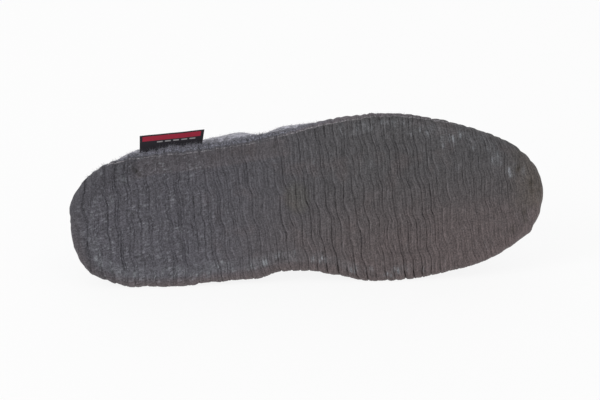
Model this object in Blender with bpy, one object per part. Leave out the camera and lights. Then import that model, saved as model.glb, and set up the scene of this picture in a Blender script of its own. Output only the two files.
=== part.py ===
"""Felt house slipper for the right foot, lying on its inner side with its ribbed rubber sole in front.

The slipper is worked out in its own sizes first: "along" runs from the back of the heel to the toe,
"across" is positive to the outer side of the foot, and "height" rises from the tread. A last step
lays it on its side: along becomes +X, height turns to +Y, and the outer side of the foot faces up.
"""

import math

import bmesh
import bpy
import numpy as np

MM = 0.001

# Driving sizes of the foot and its last
SOLE_LENGTH = 270 * MM
THROAT = 129 * MM
HEEL_CENTRE = 40 * MM
TOE_CENTRE = 214 * MM

# Outline of the sole's side, seen from below: a row for each section
OUTLINE_COLUMNS = ("share_of_length", "half_width_mm", "middle_mm")
OUTLINE = (
    (0.00, 0.0, -3.2),
    (0.02, 22.6, -3.3),
    (0.05, 30.0, -2.7),
    (0.10, 36.3, -2.1),
    (0.17, 39.9, -1.1),
    (0.28, 40.6, -0.4),
    (0.38, 40.9, 0.7),
    (0.45, 40.8, 2.9),
    (0.50, 42.3, 3.2),
    (0.55, 45.0, 2.7),
    (0.60, 47.8, 1.2),
    (0.66, 49.1, 0.4),
    (0.72, 47.9, -0.3),
    (0.78, 44.9, -1.2),
    (0.84, 40.8, -2.6),
    (0.90, 34.5, -3.4),
    (0.96, 24.1, -4.1),
    (1.00, 0.0, -4.2),
)

# Ridge of the last over the foot: height above the tread, and its place towards the inner side
RIDGE_COLUMNS = ("share_of_length", "ridge_mm", "to_inner_side_mm")
RIDGE = (
    (0.00, 82.0, 0.0),
    (0.22, 82.0, 1.0),
    (0.33, 80.0, 2.0),
    (0.41, 76.5, 3.0),
    (0.50, 68.5, 4.0),
    (0.60, 58.0, 4.0),
    (0.70, 47.5, 3.0),
    (0.80, 38.5, 1.5),
    (1.00, 31.0, 0.0),
)

# Edge of the collar above the tread, from the heel to where the throat begins
COLLAR_COLUMNS = ("share_of_length", "height_mm")
COLLAR = (
    (0.00, 61.0),
    (0.10, 58.5),
    (0.20, 54.0),
    (0.29, 51.0),
    (0.36, 50.5),
)
THROAT_FROM = 80 * MM
THROAT_SQUARENESS = 2.2

# Rubber sole, a shallow cup with ribs across it
SOLE_THICKNESS = 4.0 * MM
SIDE_HEIGHT = 10.5 * MM
SIDE_WALL = 2.0 * MM
SIDE_LEAN = math.radians(12.0)
CORNER_RADIUS = 6.0 * MM
RIB_PITCH = 5.5 * MM
RIB_DEPTH = 0.7 * MM
TOE_SPRING = 6.0 * MM
TOE_SPRING_FROM = 0.76
HEEL_SPRING = 1.2 * MM
HEEL_SPRING_TO = 0.10
ARCH_RISE = 1.2 * MM
ARCH_SPAN = (0.27, 0.56)

# Felt upper and insole
FELT = 3.2 * MM
FELT_BELLY = 2.0 * MM
BELLY_FROM = 10.9 * MM
BELLY_FULL = 22.0 * MM
BELLY_LAST = 48.0 * MM
INSOLE_THICKNESS = 4.0 * MM
SEAT_GAP = 0.3 * MM
ARCH_FULLNESS = 2.5
TOE_FULLNESS = 2.1

OUTER_SIDE = 1
INNER_SIDE = -1

# Soft swells of the felt: two and a crease on the outer side, and where the inner side lies on the floor
SWELL_COLUMNS = ("side", "along_mm", "height_mm", "length_mm", "tall_mm", "out_mm")
SWELLS = (
    (OUTER_SIDE, 97.0, 38.0, 12.0, 20.0, 2.2),
    (OUTER_SIDE, 110.0, 38.0, 6.0, 26.0, -2.6),
    (OUTER_SIDE, 132.0, 34.0, 15.0, 18.0, 1.5),
    (INNER_SIDE, 55.0, 42.0, 34.0, 24.0, 0.4),
    (INNER_SIDE, 172.0, 31.0, 34.0, 17.0, 2.0),
)

# Woven flag label, folded once and sewn in above the sole's edge on the outer side
LABEL_FROM = 44.7 * MM
LABEL_LENGTH = 35.2 * MM
LABEL_OUT = 7.0 * MM
LABEL_THICKNESS = 1.0 * MM

# How the slipper lies: the sole leans back until the felt meets the floor, the toe is lifted
LEAN = math.radians(8.0)
TOE_LIFT = math.radians(3.26)
FLOOR_DROP = 45.3 * MM
MIDDLE_ALONG = 135.15 * MM
MIDDLE_BACK = 33.2 * MM

OUTLINE_STEPS = 360

COLOURS = {
    "rubber": (0.105, 0.098, 0.101, 1.0),
    "felt": (0.26, 0.26, 0.28, 1.0),
    "footbed": (0.20, 0.20, 0.215, 1.0),
    "ribbon": (0.012, 0.011, 0.014, 1.0),
}
ROUGHNESS = {"rubber": 0.62, "felt": 0.95, "footbed": 0.95, "ribbon": 0.8}


def columns(rows):
    """The columns of a table as arrays."""
    return np.array(rows, float).T


def smooth(knots, values, at):
    """Cubic curve through the knots of a table, read at the given places."""
    at = np.clip(np.asarray(at, float), knots[0], knots[-1])
    slopes = np.gradient(values, knots)
    right = np.clip(np.searchsorted(knots, at), 1, len(knots) - 1)
    left = right - 1
    span = knots[right] - knots[left]
    t = (at - knots[left]) / span
    return (
        values[left] * (1 + 2 * t) * (1 - t) ** 2
        + slopes[left] * span * t * (1 - t) ** 2
        + values[right] * t * t * (3 - 2 * t)
        + slopes[right] * span * t * t * (t - 1)
    )


def ease(value, start, end):
    """Smooth step from 0 at start to 1 at end."""
    t = np.clip((np.asarray(value, float) - start) / (end - start), 0, 1)
    return t * t * (3 - 2 * t)


def turn_of(share):
    """A station along the sole as a share of a half turn, which rounds both ends of the outline."""
    return np.arccos(np.clip(1 - 2 * np.asarray(share, float), -1, 1)) / math.pi


def along_of(turn):
    """Distance from the back of the heel at a share of the half turn."""
    return SOLE_LENGTH * (1 - np.cos(math.pi * np.asarray(turn, float))) / 2


def middle_of(turn):
    """Middle line of the sole, across."""
    share, _, middle = columns(OUTLINE)
    return smooth(turn_of(share), middle * MM, turn)


def edge_of(turn, side, outwards=0.0):
    """Points on the sole's side outline, or that far outside it, and their outward directions."""
    share, half, _ = columns(OUTLINE)
    knots = turn_of(share)
    step = 1e-4

    def on_edge(at):
        across = middle_of(at) + side * smooth(knots, half * MM, at)
        return np.stack([along_of(at), across], axis=-1)

    turn = np.asarray(turn, float)
    before, after = np.clip(turn - step, 0, 1), np.clip(turn + step, 0, 1)
    way = on_edge(after) - on_edge(before)
    way /= np.linalg.norm(way, axis=-1, keepdims=True)
    out = side * np.stack([-way[..., 1], way[..., 0]], axis=-1)
    out = np.where((turn <= step)[..., None], np.array([-1.0, 0.0]), out)
    out = np.where((turn >= 1 - step)[..., None], np.array([1.0, 0.0]), out)
    return on_edge(turn) + out * outwards, out


def loop_of(outwards, steps=OUTLINE_STEPS):
    """Closed outline: up the outer side from heel to toe, and back down the inner side."""
    turns = np.linspace(0, 1, steps // 2 + 1)
    outer, outer_way = edge_of(turns, OUTER_SIDE, outwards)
    inner, inner_way = edge_of(turns[-2:0:-1], INNER_SIDE, outwards)
    return np.concatenate([outer, inner]), np.concatenate([outer_way, inner_way])


def tread_height(along):
    """Height of the tread over the floor: flat under heel and ball, risen at toe, arch and heel end."""
    share = np.asarray(along, float) / SOLE_LENGTH
    toe = TOE_SPRING * np.clip((share - TOE_SPRING_FROM) / (1 - TOE_SPRING_FROM), 0, None) ** 2
    heel = HEEL_SPRING * np.clip(1 - share / HEEL_SPRING_TO, 0, None) ** 2
    arch_start, arch_end = ARCH_SPAN
    arch = np.sin(math.pi * np.clip((share - arch_start) / (arch_end - arch_start), 0, 1)) ** 2
    return toe + heel + ARCH_RISE * arch


def lay_down(along, across, height):
    """Points of the slipper as it lies on its inner side."""
    x = along - MIDDLE_ALONG
    lifted_x = x * math.cos(TOE_LIFT) - across * math.sin(TOE_LIFT)
    lifted_across = x * math.sin(TOE_LIFT) + across * math.cos(TOE_LIFT)
    back = height * math.cos(LEAN) + lifted_across * math.sin(LEAN)
    up = lifted_across * math.cos(LEAN) - height * math.sin(LEAN)
    return np.stack([lifted_x, back - MIDDLE_BACK, up + FLOOR_DROP], axis=-1)


def settled(along, across, height):
    """Points on the tread's curve, laid down, with what would go under the floor pressed flat on it."""
    points = lay_down(along, across, height + tread_height(along))
    points[..., 2] = np.maximum(points[..., 2], 0)
    return points


def material(name):
    made = bpy.data.materials.new(name)
    made.use_nodes = True
    shader = made.node_tree.nodes["Principled BSDF"]
    shader.inputs["Base Color"].default_value = COLOURS[name]
    shader.inputs["Roughness"].default_value = ROUGHNESS[name]
    shader.inputs["Metallic"].default_value = 0.0
    return made


def add_object(name, points, faces, finish):
    """A named object from points and faces, with doubled points joined and its faces turned out."""
    mesh = bpy.data.meshes.new(name)
    mesh.from_pydata([tuple(p) for p in points], [], [tuple(f) for f in faces])
    shape = bmesh.new()
    shape.from_mesh(mesh)
    bmesh.ops.remove_doubles(shape, verts=shape.verts, dist=0.01 * MM)
    bmesh.ops.dissolve_degenerate(shape, edges=shape.edges, dist=0.01 * MM)
    bmesh.ops.recalc_face_normals(shape, faces=shape.faces)
    shape.to_mesh(mesh)
    shape.free()
    mesh.shade_smooth()
    mesh.set_sharp_from_angle(angle=math.radians(40))
    made = bpy.data.objects.new(name, mesh)
    made.data.materials.append(finish)
    bpy.context.scene.collection.objects.link(made)
    return made


def grid_faces(rows, count, first=0, closed=False):
    """Quads between neighbouring rows of points, each row holding count points."""
    last = count if closed else count - 1
    return [
        (
            first + row * count + k,
            first + row * count + (k + 1) % count,
            first + (row + 1) * count + (k + 1) % count,
            first + (row + 1) * count + k,
        )
        for row in range(rows - 1)
        for k in range(last)
    ]


# Rubber sole

ARC_TURN = math.pi / 2 + SIDE_LEAN
ARC_HEIGHT = CORNER_RADIUS * (1 - math.cos(ARC_TURN))
WRAP_ARC = CORNER_RADIUS * ARC_TURN
WRAP = WRAP_ARC + (SIDE_HEIGHT - ARC_HEIGHT) / math.cos(SIDE_LEAN)
RIM_INSET = CORNER_RADIUS * (1 - math.sin(ARC_TURN)) + (WRAP - WRAP_ARC) * math.sin(SIDE_LEAN)
ROW_SHARES = (0.0, 0.28, 0.54, 0.75, 0.82, 0.88, 0.94, 1.0)


def rib_shift(along, across):
    """How far a rib wanders along the sole at a place across it."""
    broad = 1.5 * np.sin(across / (21 * MM) + along / (47 * MM))
    short = 0.8 * np.sin(across / (8.3 * MM) - along / (31 * MM) + 1.1)
    return (broad + short) * MM


def wrap_up(sheet_along, sheet_across):
    """A flat rubber sheet bent up round the tread: points, and the way out of the rubber."""
    ring, ways = loop_of(-CORNER_RADIUS)
    sheet = np.stack([sheet_along, sheet_across], axis=-1).reshape(-1, 1, 2)
    ends, end_ways = np.roll(ring, -1, axis=0), np.roll(ways, -1, axis=0)
    spans = ends - ring
    shares = np.clip(((sheet - ring) * spans).sum(-1) / (spans * spans).sum(-1), 0, 1)
    feet = ring + shares[..., None] * spans
    nearest = np.linalg.norm(sheet - feet, axis=-1).argmin(axis=1)
    rows = np.arange(len(nearest))
    share = shares[rows, nearest][:, None]
    foot = feet[rows, nearest]
    way = ways[nearest] * (1 - share) + end_ways[nearest] * share
    way /= np.linalg.norm(way, axis=-1, keepdims=True)
    past = ((sheet[:, 0] - foot) * way).sum(-1)
    angle = np.clip(past, 0, WRAP_ARC) / CORNER_RADIUS
    straight = np.clip(past - WRAP_ARC, 0, None)
    out = CORNER_RADIUS * np.sin(angle) - straight * math.sin(SIDE_LEAN)
    height = CORNER_RADIUS * (1 - np.cos(angle)) + straight * math.cos(SIDE_LEAN)
    flat = np.where((past <= 0)[:, None], sheet[:, 0], foot + way * out[:, None])
    skin = np.concatenate([way * np.sin(angle)[:, None], -np.cos(angle)[:, None]], axis=1)
    return np.concatenate([flat, height[:, None]], axis=1), skin, foot, way


def sheet_reach(sheet_along, side):
    """How far across the flat sheet reaches at a place along it."""
    turns = np.linspace(0, 1, OUTLINE_STEPS)
    points, _ = edge_of(turns, side, WRAP - CORNER_RADIUS)
    return np.interp(sheet_along, points[:, 0], points[:, 1])


def sheet_end(across, at_toe):
    """Where the flat sheet ends, at its heel or its toe, at places across it."""
    turns = np.linspace(0.8, 1, OUTLINE_STEPS) if at_toe else np.linspace(0.2, 0, OUTLINE_STEPS)
    outer, _ = edge_of(turns[::-1], OUTER_SIDE, WRAP - CORNER_RADIUS)
    inner, _ = edge_of(turns, INNER_SIDE, WRAP - CORNER_RADIUS)
    points = np.concatenate([inner, outer])
    return np.interp(across, points[:, 1], points[:, 0])


def rib_rows():
    """Sheet points row by row, a row on each crest and each groove, with the groove's depth."""
    start = -(WRAP - CORNER_RADIUS)
    end = SOLE_LENGTH - start
    count = 2 * round((end - start) / RIB_PITCH)
    shares = np.array([-s for s in ROW_SHARES[:0:-1]] + list(ROW_SHARES))
    rows, depths = [], []
    for k in range(1, count):
        along = start + (end - start) * k / count
        fade = float(ease(min(along - start, end - along), 0, 5 * RIB_PITCH))
        reach = {}
        for side in (INNER_SIDE, OUTER_SIDE):
            at = along
            for _ in range(4):
                across = sheet_reach(at, side)
                at = along + fade * rib_shift(along, across)
            reach[side] = float(across)
        middle = (reach[OUTER_SIDE] + reach[INNER_SIDE]) / 2
        half = (reach[OUTER_SIDE] - reach[INNER_SIDE]) / 2
        across = middle + half * shares
        wandering = along + fade * rib_shift(along, across)
        if k in (1, count - 1):
            wandering = sheet_end(across, k > 1)
        rows.append(np.stack([wandering, across], axis=-1))
        depths.append(0.0 if k % 2 else RIB_DEPTH)
    return np.array(rows), np.array(depths)


def make_sole(finish):
    sheet, depths = rib_rows()
    rows, count, _ = sheet.shape
    points, skin, foot, way = wrap_up(sheet[..., 0].ravel(), sheet[..., 1].ravel())
    points = points - skin * np.repeat(depths, count)[:, None]
    inner = foot + way * (CORNER_RADIUS - RIM_INSET - SIDE_WALL)
    rim = np.concatenate([inner, np.full((len(inner), 1), SIDE_HEIGHT)], axis=1)
    floor = np.concatenate([inner, np.full((len(inner), 1), SOLE_THICKNESS)], axis=1)
    index = np.arange(rows * count).reshape(rows, count)
    border = np.concatenate([index[0], index[1:, -1], index[-1, -2::-1], index[-2:0:-1, 0]])
    size = rows * count
    around = len(border)
    every = np.concatenate([points, rim[border], floor[border]])
    every = settled(every[:, 0], every[:, 1], every[:, 2])
    faces = grid_faces(rows, count)
    for k in range(around):
        nxt = (k + 1) % around
        faces.append((border[k], border[nxt], size + nxt, size + k))
        faces.append((size + k, size + nxt, size + around + nxt, size + around + k))
    place = {int(point): size + around + k for k, point in enumerate(border)}
    for row in range(1, rows - 2):
        corners = (index[row, 0], index[row + 1, 0], index[row + 1, -1], index[row, -1])
        faces.append(tuple(place[int(c)] for c in corners))
    for row, neighbour in ((0, 1), (rows - 1, rows - 2)):
        end = [place[int(c)] for c in index[row]]
        faces.append((*end, place[int(index[neighbour, -1])], place[int(index[neighbour, 0])]))
    return add_object("outsole", every, faces, finish)


# Felt upper

UPPER_SEAT = SOLE_THICKNESS + SEAT_GAP
UPPER_INSET = RIM_INSET + SIDE_WALL + SEAT_GAP
WALL_ROWS = 9
REAR_LINES = 25
FRONT_LINES = 26
NOSE_STEP = 0.02


def swell(along, height, side):
    """How far the felt swells outwards at a place on one side."""
    out = np.zeros(np.broadcast(along, height).shape)
    for swell_side, swell_along, swell_height, length, tall, amount in SWELLS:
        if swell_side == side:
            far = ((along - swell_along * MM) / (length * MM)) ** 2
            far = far + ((height - swell_height * MM) / (tall * MM)) ** 2
            out = out + amount * MM * np.exp(-far)
    return out


def collar_angle(along):
    """How far up its arch a line of the upper goes: to the collar, round the throat, or to the ridge."""
    if along >= THROAT:
        return math.pi / 2
    share, ridge, _ = columns(RIDGE)
    collar_share, collar = columns(COLLAR)
    at = min(along, THROAT_FROM) / SOLE_LENGTH
    rise = float(smooth(share, ridge * MM, at)) - BELLY_FROM
    angle = math.asin((float(smooth(collar_share, collar * MM, at)) - BELLY_FROM) / rise)
    into_throat = max(0.0, (along - THROAT_FROM) / (THROAT - THROAT_FROM))
    keep = math.cos(angle) ** (2 / ARCH_FULLNESS) * math.sqrt(1 - into_throat**THROAT_SQUARENESS)
    return math.acos(keep ** (ARCH_FULLNESS / 2))


def wall_line(turn, side):
    """One line of the upper's outside, from the sole up to the collar or over to the ridge."""
    base, _ = edge_of(turn, side, -UPPER_INSET)
    along = float(along_of(turn))
    spine_along = min(max(along, HEEL_CENTRE), TOE_CENTRE)
    spine_turn = turn_of(spine_along / SOLE_LENGTH)
    share, ridge, to_inner = columns(RIDGE)
    spine_share = spine_along / SOLE_LENGTH
    ridge_height = float(smooth(share, ridge * MM, spine_share))
    spine = np.array(
        [spine_along, float(middle_of(spine_turn)) - float(smooth(share, to_inner * MM, spine_share))]
    )
    rise = ridge_height - BELLY_FROM
    reach = base - spine
    way = reach / np.linalg.norm(reach)
    in_nose = along > TOE_CENTRE
    fullness = ARCH_FULLNESS + in_nose * (TOE_FULLNESS - ARCH_FULLNESS) * way[0] ** 2
    angle = np.linspace(0, collar_angle(along), WALL_ROWS)
    keep = np.maximum(np.cos(angle), 0) ** (2 / fullness)
    keep[angle > math.pi / 2 - 1e-6] = 0
    height = BELLY_FROM + rise * np.sin(angle)
    if in_nose:
        before = float(smooth(share, ridge * MM, spine_share - NOSE_STEP))
        slope = (ridge_height - before) / (NOSE_STEP * SOLE_LENGTH)
        height = height + slope * reach[0] * keep * (1 - keep)
    belly = FELT_BELLY * ease(height, BELLY_FROM, BELLY_FULL) * (1 - ease(height, BELLY_FULL, BELLY_LAST))
    out = belly * keep + swell(along, height, side) * keep * ease(height, BELLY_FROM, BELLY_FULL)
    flat = spine + reach * keep[:, None] + way * out[:, None]
    foot = np.array([[base[0], base[1], UPPER_SEAT]])
    return np.concatenate([foot, np.concatenate([flat, height[:, None]], axis=1)])


def make_upper(finish):
    throat_turn = float(turn_of(THROAT / SOLE_LENGTH))
    rear = throat_turn * (1 - (1 - np.linspace(0, 1, REAR_LINES)) ** 1.35)
    front = np.linspace(throat_turn, 1, FRONT_LINES)[1:]
    turns = np.concatenate([rear, front])
    outer = [wall_line(t, OUTER_SIDE) for t in turns]
    inner = [wall_line(t, INNER_SIDE) for t in turns[-2:0:-1]]
    lines = np.array(outer + inner)
    around, tall, _ = lines.shape
    points = settled(lines[..., 0], lines[..., 1], lines[..., 2]).reshape(-1, 3)
    faces = grid_faces(around, tall)
    faces += [
        ((around - 1) * tall + k, (around - 1) * tall + k + 1, k + 1, k) for k in range(tall - 1)
    ]
    made = add_object("upper", points, faces, finish)
    wall = made.modifiers.new("felt_wall", "SOLIDIFY")
    wall.thickness = FELT
    wall.offset = -1
    wall.use_even_offset = True
    return made


# Insole and label

INSOLE_LINES = 48


def make_insole(finish):
    inset = -(UPPER_INSET + FELT + 2 * SEAT_GAP)
    turns = np.linspace(0, 1, INSOLE_LINES)
    outer, _ = edge_of(turns, OUTER_SIDE, inset)
    inner, _ = edge_of(turns[-2:0:-1], INNER_SIDE, inset)
    ring = np.concatenate([outer, inner])
    around = len(ring)
    low = settled(ring[:, 0], ring[:, 1], np.full(around, UPPER_SEAT))
    high = settled(ring[:, 0], ring[:, 1], np.full(around, UPPER_SEAT + INSOLE_THICKNESS))
    faces = grid_faces(2, around, closed=True)
    for level in (0, around):
        for k in range(INSOLE_LINES - 1):
            face = [k, k + 1, (around - k - 1) % around, (around - k) % around]
            faces.append(tuple(level + c for c in dict.fromkeys(face)))
    return add_object("insole", np.concatenate([low, high]), faces, finish)


def make_label(finish):
    steps = 7
    along = np.linspace(LABEL_FROM, LABEL_FROM + LABEL_LENGTH, steps)
    turns = turn_of(along / SOLE_LENGTH)
    seat, _ = edge_of(turns, OUTER_SIDE, -UPPER_INSET + SEAT_GAP)
    tip = seat.copy()
    straight = np.linspace(0, 1, steps)[:, None]
    ends, _ = edge_of(turns[[0, -1]], OUTER_SIDE, LABEL_OUT)
    tip = ends[0] * (1 - straight) + ends[1] * straight
    low = SIDE_HEIGHT + SEAT_GAP
    rows = [
        np.concatenate([flat, np.full((steps, 1), height)], axis=1)
        for flat, height in (
            (seat, low),
            (tip, low),
            (tip, low + LABEL_THICKNESS),
            (seat, low + LABEL_THICKNESS),
        )
    ]
    rows = np.stack(rows, axis=1)
    points = settled(rows[..., 0], rows[..., 1], rows[..., 2]).reshape(-1, 3)
    faces = grid_faces(steps, 4, closed=True)
    faces += [(0, 1, 2, 3), tuple(4 * (steps - 1) + k for k in (3, 2, 1, 0))]
    return add_object("label", points, faces, finish)


def main():
    for old in list(bpy.data.objects):
        bpy.data.objects.remove(old)
    make_sole(material("rubber"))
    make_upper(material("felt"))
    make_insole(material("footbed"))
    make_label(material("ribbon"))


main()
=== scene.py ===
"""Looks of a felt house slipper for the right foot, lying on its inner side with its ribbed sole in front.

The slipper is drawn in its own sizes: "along" runs from the back of the heel to the toe, "across" is
positive to the outer side of the foot, and "height" rises from the tread. A last step lays it down.
"""

import logging
import math
from dataclasses import dataclass
from enum import Enum
from typing import Any, Union

import bmesh
import bpy
import numpy as np
from mathutils import Matrix, Vector


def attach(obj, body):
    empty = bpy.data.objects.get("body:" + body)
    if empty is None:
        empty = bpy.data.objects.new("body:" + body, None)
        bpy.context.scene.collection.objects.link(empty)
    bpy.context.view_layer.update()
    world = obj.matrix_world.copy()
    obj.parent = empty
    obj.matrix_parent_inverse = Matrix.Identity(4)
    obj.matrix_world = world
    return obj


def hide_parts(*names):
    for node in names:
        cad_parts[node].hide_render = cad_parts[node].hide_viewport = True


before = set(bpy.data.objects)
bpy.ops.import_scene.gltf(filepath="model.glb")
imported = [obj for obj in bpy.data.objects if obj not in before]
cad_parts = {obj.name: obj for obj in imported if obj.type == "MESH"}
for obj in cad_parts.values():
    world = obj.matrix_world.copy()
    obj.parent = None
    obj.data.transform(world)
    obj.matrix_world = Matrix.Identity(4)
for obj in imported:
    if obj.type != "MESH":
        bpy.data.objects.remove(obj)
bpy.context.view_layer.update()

MM = 0.001
BODY = "root"
LOG = logging.getLogger("slipper")

JOIN_WITHIN = 0.01 * MM
LEAST_EDGE = 0.005 * MM
SEAT_GAP = 0.3 * MM

Array = np.ndarray
Rows = tuple[tuple[float, ...], ...]
Colour = tuple[float, float, float]
Faces = list[tuple[int, ...]]


class Side(Enum):
    """The two sides of the foot."""

    OUTER = 1
    INNER = -1


# Small tools for curves and uneven surfaces


def columns(rows: Rows) -> Array:
    """The columns of a table as arrays."""
    return np.array(rows, float).T


def smooth(knots: Array, values: Array, at: Union[Array, float]) -> Array:
    """Cubic curve through the rows of a table.

    Args:
        knots: Places of the rows, rising.
        values: Values at those places.
        at: Places to read.

    Returns:
        The curve's value at each place.
    """
    at = np.clip(np.asarray(at, float), knots[0], knots[-1])
    slopes = np.gradient(values, knots)
    right = np.clip(np.searchsorted(knots, at), 1, len(knots) - 1)
    left = right - 1
    span = knots[right] - knots[left]
    t = (at - knots[left]) / span
    return (
        values[left] * (1 + 2 * t) * (1 - t) ** 2
        + slopes[left] * span * t * (1 - t) ** 2
        + values[right] * t * t * (3 - 2 * t)
        + slopes[right] * span * t * t * (t - 1)
    )


def ease(value: Union[Array, float], start: float, end: float) -> Array:
    """Smooth step from 0 at start to 1 at end."""
    t = np.clip((np.asarray(value, float) - start) / (end - start), 0, 1)
    return t * t * (3 - 2 * t)


def within(value: Array, low: float, high: float, soft: float) -> Array:
    """1 between two limits, easing to 0 over a soft edge outside them."""
    return ease(value, low - soft, low) * (1 - ease(value, high, high + soft))


def patches(u: Array, v: Array, seed: int) -> Array:
    """Smooth random field with patches about one unit wide.

    Args:
        u: First coordinate, in patches.
        v: Second coordinate, in patches.
        seed: Number that fixes the field.

    Returns:
        Values from -1 to 1.
    """
    size = 128
    table = np.random.default_rng(seed).uniform(-1, 1, (size, size))
    u, v = np.broadcast_arrays(np.asarray(u, float), np.asarray(v, float))
    col, row = np.floor(u).astype(int), np.floor(v).astype(int)
    s, t = ease(u - col, 0, 1), ease(v - row, 0, 1)
    low = table[row % size, col % size] * (1 - s) + table[row % size, (col + 1) % size] * s
    row = row + 1
    high = table[row % size, col % size] * (1 - s) + table[row % size, (col + 1) % size] * s
    return low * (1 - t) + high * t


# Meshes


def grid_faces(rows: int, count: int, closed: bool = False) -> Faces:
    """Quads between neighbouring rows of points.

    Args:
        rows: Number of rows.
        count: Points in each row.
        closed: Whether each row is a ring.

    Returns:
        The quads' corners.
    """
    last = count if closed else count - 1
    return [
        (
            row * count + k,
            row * count + (k + 1) % count,
            (row + 1) * count + (k + 1) % count,
            (row + 1) * count + k,
        )
        for row in range(rows - 1)
        for k in range(last)
    ]


def add_piece(name: str, points: Array, faces: Faces, marks: dict[str, Array]) -> bpy.types.Object:
    """A mesh object with named values on its points, doubled points joined and its faces turned out.

    Args:
        name: Name of the piece.
        points: Its points.
        faces: Its faces' corners.
        marks: Numbers or vectors for each point, by name.

    Returns:
        The object, linked to the scene.
    """
    mesh = bpy.data.meshes.new(name)
    mesh.from_pydata([tuple(p) for p in points], [], faces)
    for mark, values in marks.items():
        flat = values.ndim == 1
        made = mesh.attributes.new(mark, "FLOAT" if flat else "FLOAT_VECTOR", "POINT")
        made.data.foreach_set("value" if flat else "vector", values.astype(np.float32).ravel())
    shape = bmesh.new()
    shape.from_mesh(mesh)
    bmesh.ops.remove_doubles(shape, verts=shape.verts, dist=JOIN_WITHIN)
    bmesh.ops.dissolve_degenerate(shape, edges=shape.edges, dist=LEAST_EDGE)
    bmesh.ops.recalc_face_normals(shape, faces=shape.faces)
    shape.to_mesh(mesh)
    shape.free()
    mesh.shade_smooth()
    piece = bpy.data.objects.new(name, mesh)
    bpy.context.scene.collection.objects.link(piece)
    return piece


def read_points(mesh: bpy.types.Mesh) -> Array:
    """The points of a mesh.

    Args:
        mesh: The mesh.

    Returns:
        Its points, one in each row.
    """
    points = np.zeros(len(mesh.vertices) * 3, np.float32)
    mesh.vertices.foreach_get("co", points)
    return points.reshape(-1, 3).astype(float)


def write_points(mesh: bpy.types.Mesh, points: Array) -> None:
    """Moves the points of a mesh, none of them under the floor.

    Args:
        mesh: The mesh.
        points: Where they go.
    """
    points[:, 2] = np.maximum(points[:, 2], 0)
    mesh.vertices.foreach_set("co", points.astype(np.float32).ravel())
    mesh.update()


def settle_modifiers(piece: bpy.types.Object) -> None:
    """Turns what the modifiers make into the piece's own plain mesh.

    Args:
        piece: The piece.
    """
    graph = bpy.context.evaluated_depsgraph_get()
    made = bpy.data.meshes.new_from_object(
        piece.evaluated_get(graph), preserve_all_data_layers=True, depsgraph=graph
    )
    piece.modifiers.clear()
    piece.data = made
    made.shade_smooth()


# Node trees

Operand = Union["Wire", float]


class Wire:
    """An output of a node; arithmetic on it adds Math nodes."""

    def __init__(self, tree: "Nodes", socket: bpy.types.NodeSocket) -> None:
        """Keeps the tree and the output."""
        self.tree = tree
        self.socket = socket

    def math(self, operation: str, first: Operand, second: Operand = 0.0) -> "Wire":
        """One Math node on two values."""
        return self.tree.node("ShaderNodeMath", {"operation": operation}, {0: first, 1: second})

    def __add__(self, other: Operand) -> "Wire":
        """Sum."""
        return self.math("ADD", self, other)

    def __radd__(self, other: Operand) -> "Wire":
        """Sum, with a number on the left."""
        return self.math("ADD", other, self)

    def __sub__(self, other: Operand) -> "Wire":
        """Difference."""
        return self.math("SUBTRACT", self, other)

    def __rsub__(self, other: Operand) -> "Wire":
        """Difference, with a number on the left."""
        return self.math("SUBTRACT", other, self)

    def __mul__(self, other: Operand) -> "Wire":
        """Product."""
        return self.math("MULTIPLY", self, other)

    def __rmul__(self, other: Operand) -> "Wire":
        """Product, with a number on the left."""
        return self.math("MULTIPLY", other, self)

    def __truediv__(self, other: Operand) -> "Wire":
        """Quotient."""
        return self.math("DIVIDE", self, other)

    def __rtruediv__(self, other: Operand) -> "Wire":
        """Quotient, with a number on the left."""
        return self.math("DIVIDE", other, self)

    def fraction(self) -> "Wire":
        """What is past the whole number."""
        return self.math("FRACT", self)

    def size(self) -> "Wire":
        """Without its sign."""
        return self.math("ABSOLUTE", self)

    def sine(self) -> "Wire":
        """Sine of an angle."""
        return self.math("SINE", self)

    def at_most(self, limit: float) -> "Wire":
        """The value, or the limit where that is less."""
        return self.math("MINIMUM", self, limit)

    def ease(self, start: float, end: float) -> "Wire":
        """Smooth step from 0 at start to 1 at end.

        Args:
            start: Value where the step starts.
            end: Value where it ends.

        Returns:
            The step.
        """
        low, high = min(start, end), max(start, end)
        falls = start > end
        return self.tree.node(
            "ShaderNodeMapRange",
            {"interpolation_type": "SMOOTHSTEP"},
            {0: self, 1: low, 2: high, 3: float(falls), 4: float(not falls)},
        )

    def within(self, low: float, high: float, soft: float) -> "Wire":
        """1 between two limits, easing to 0 over a soft edge outside them."""
        return self.ease(low - soft, low) * self.ease(high + soft, high)


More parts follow.
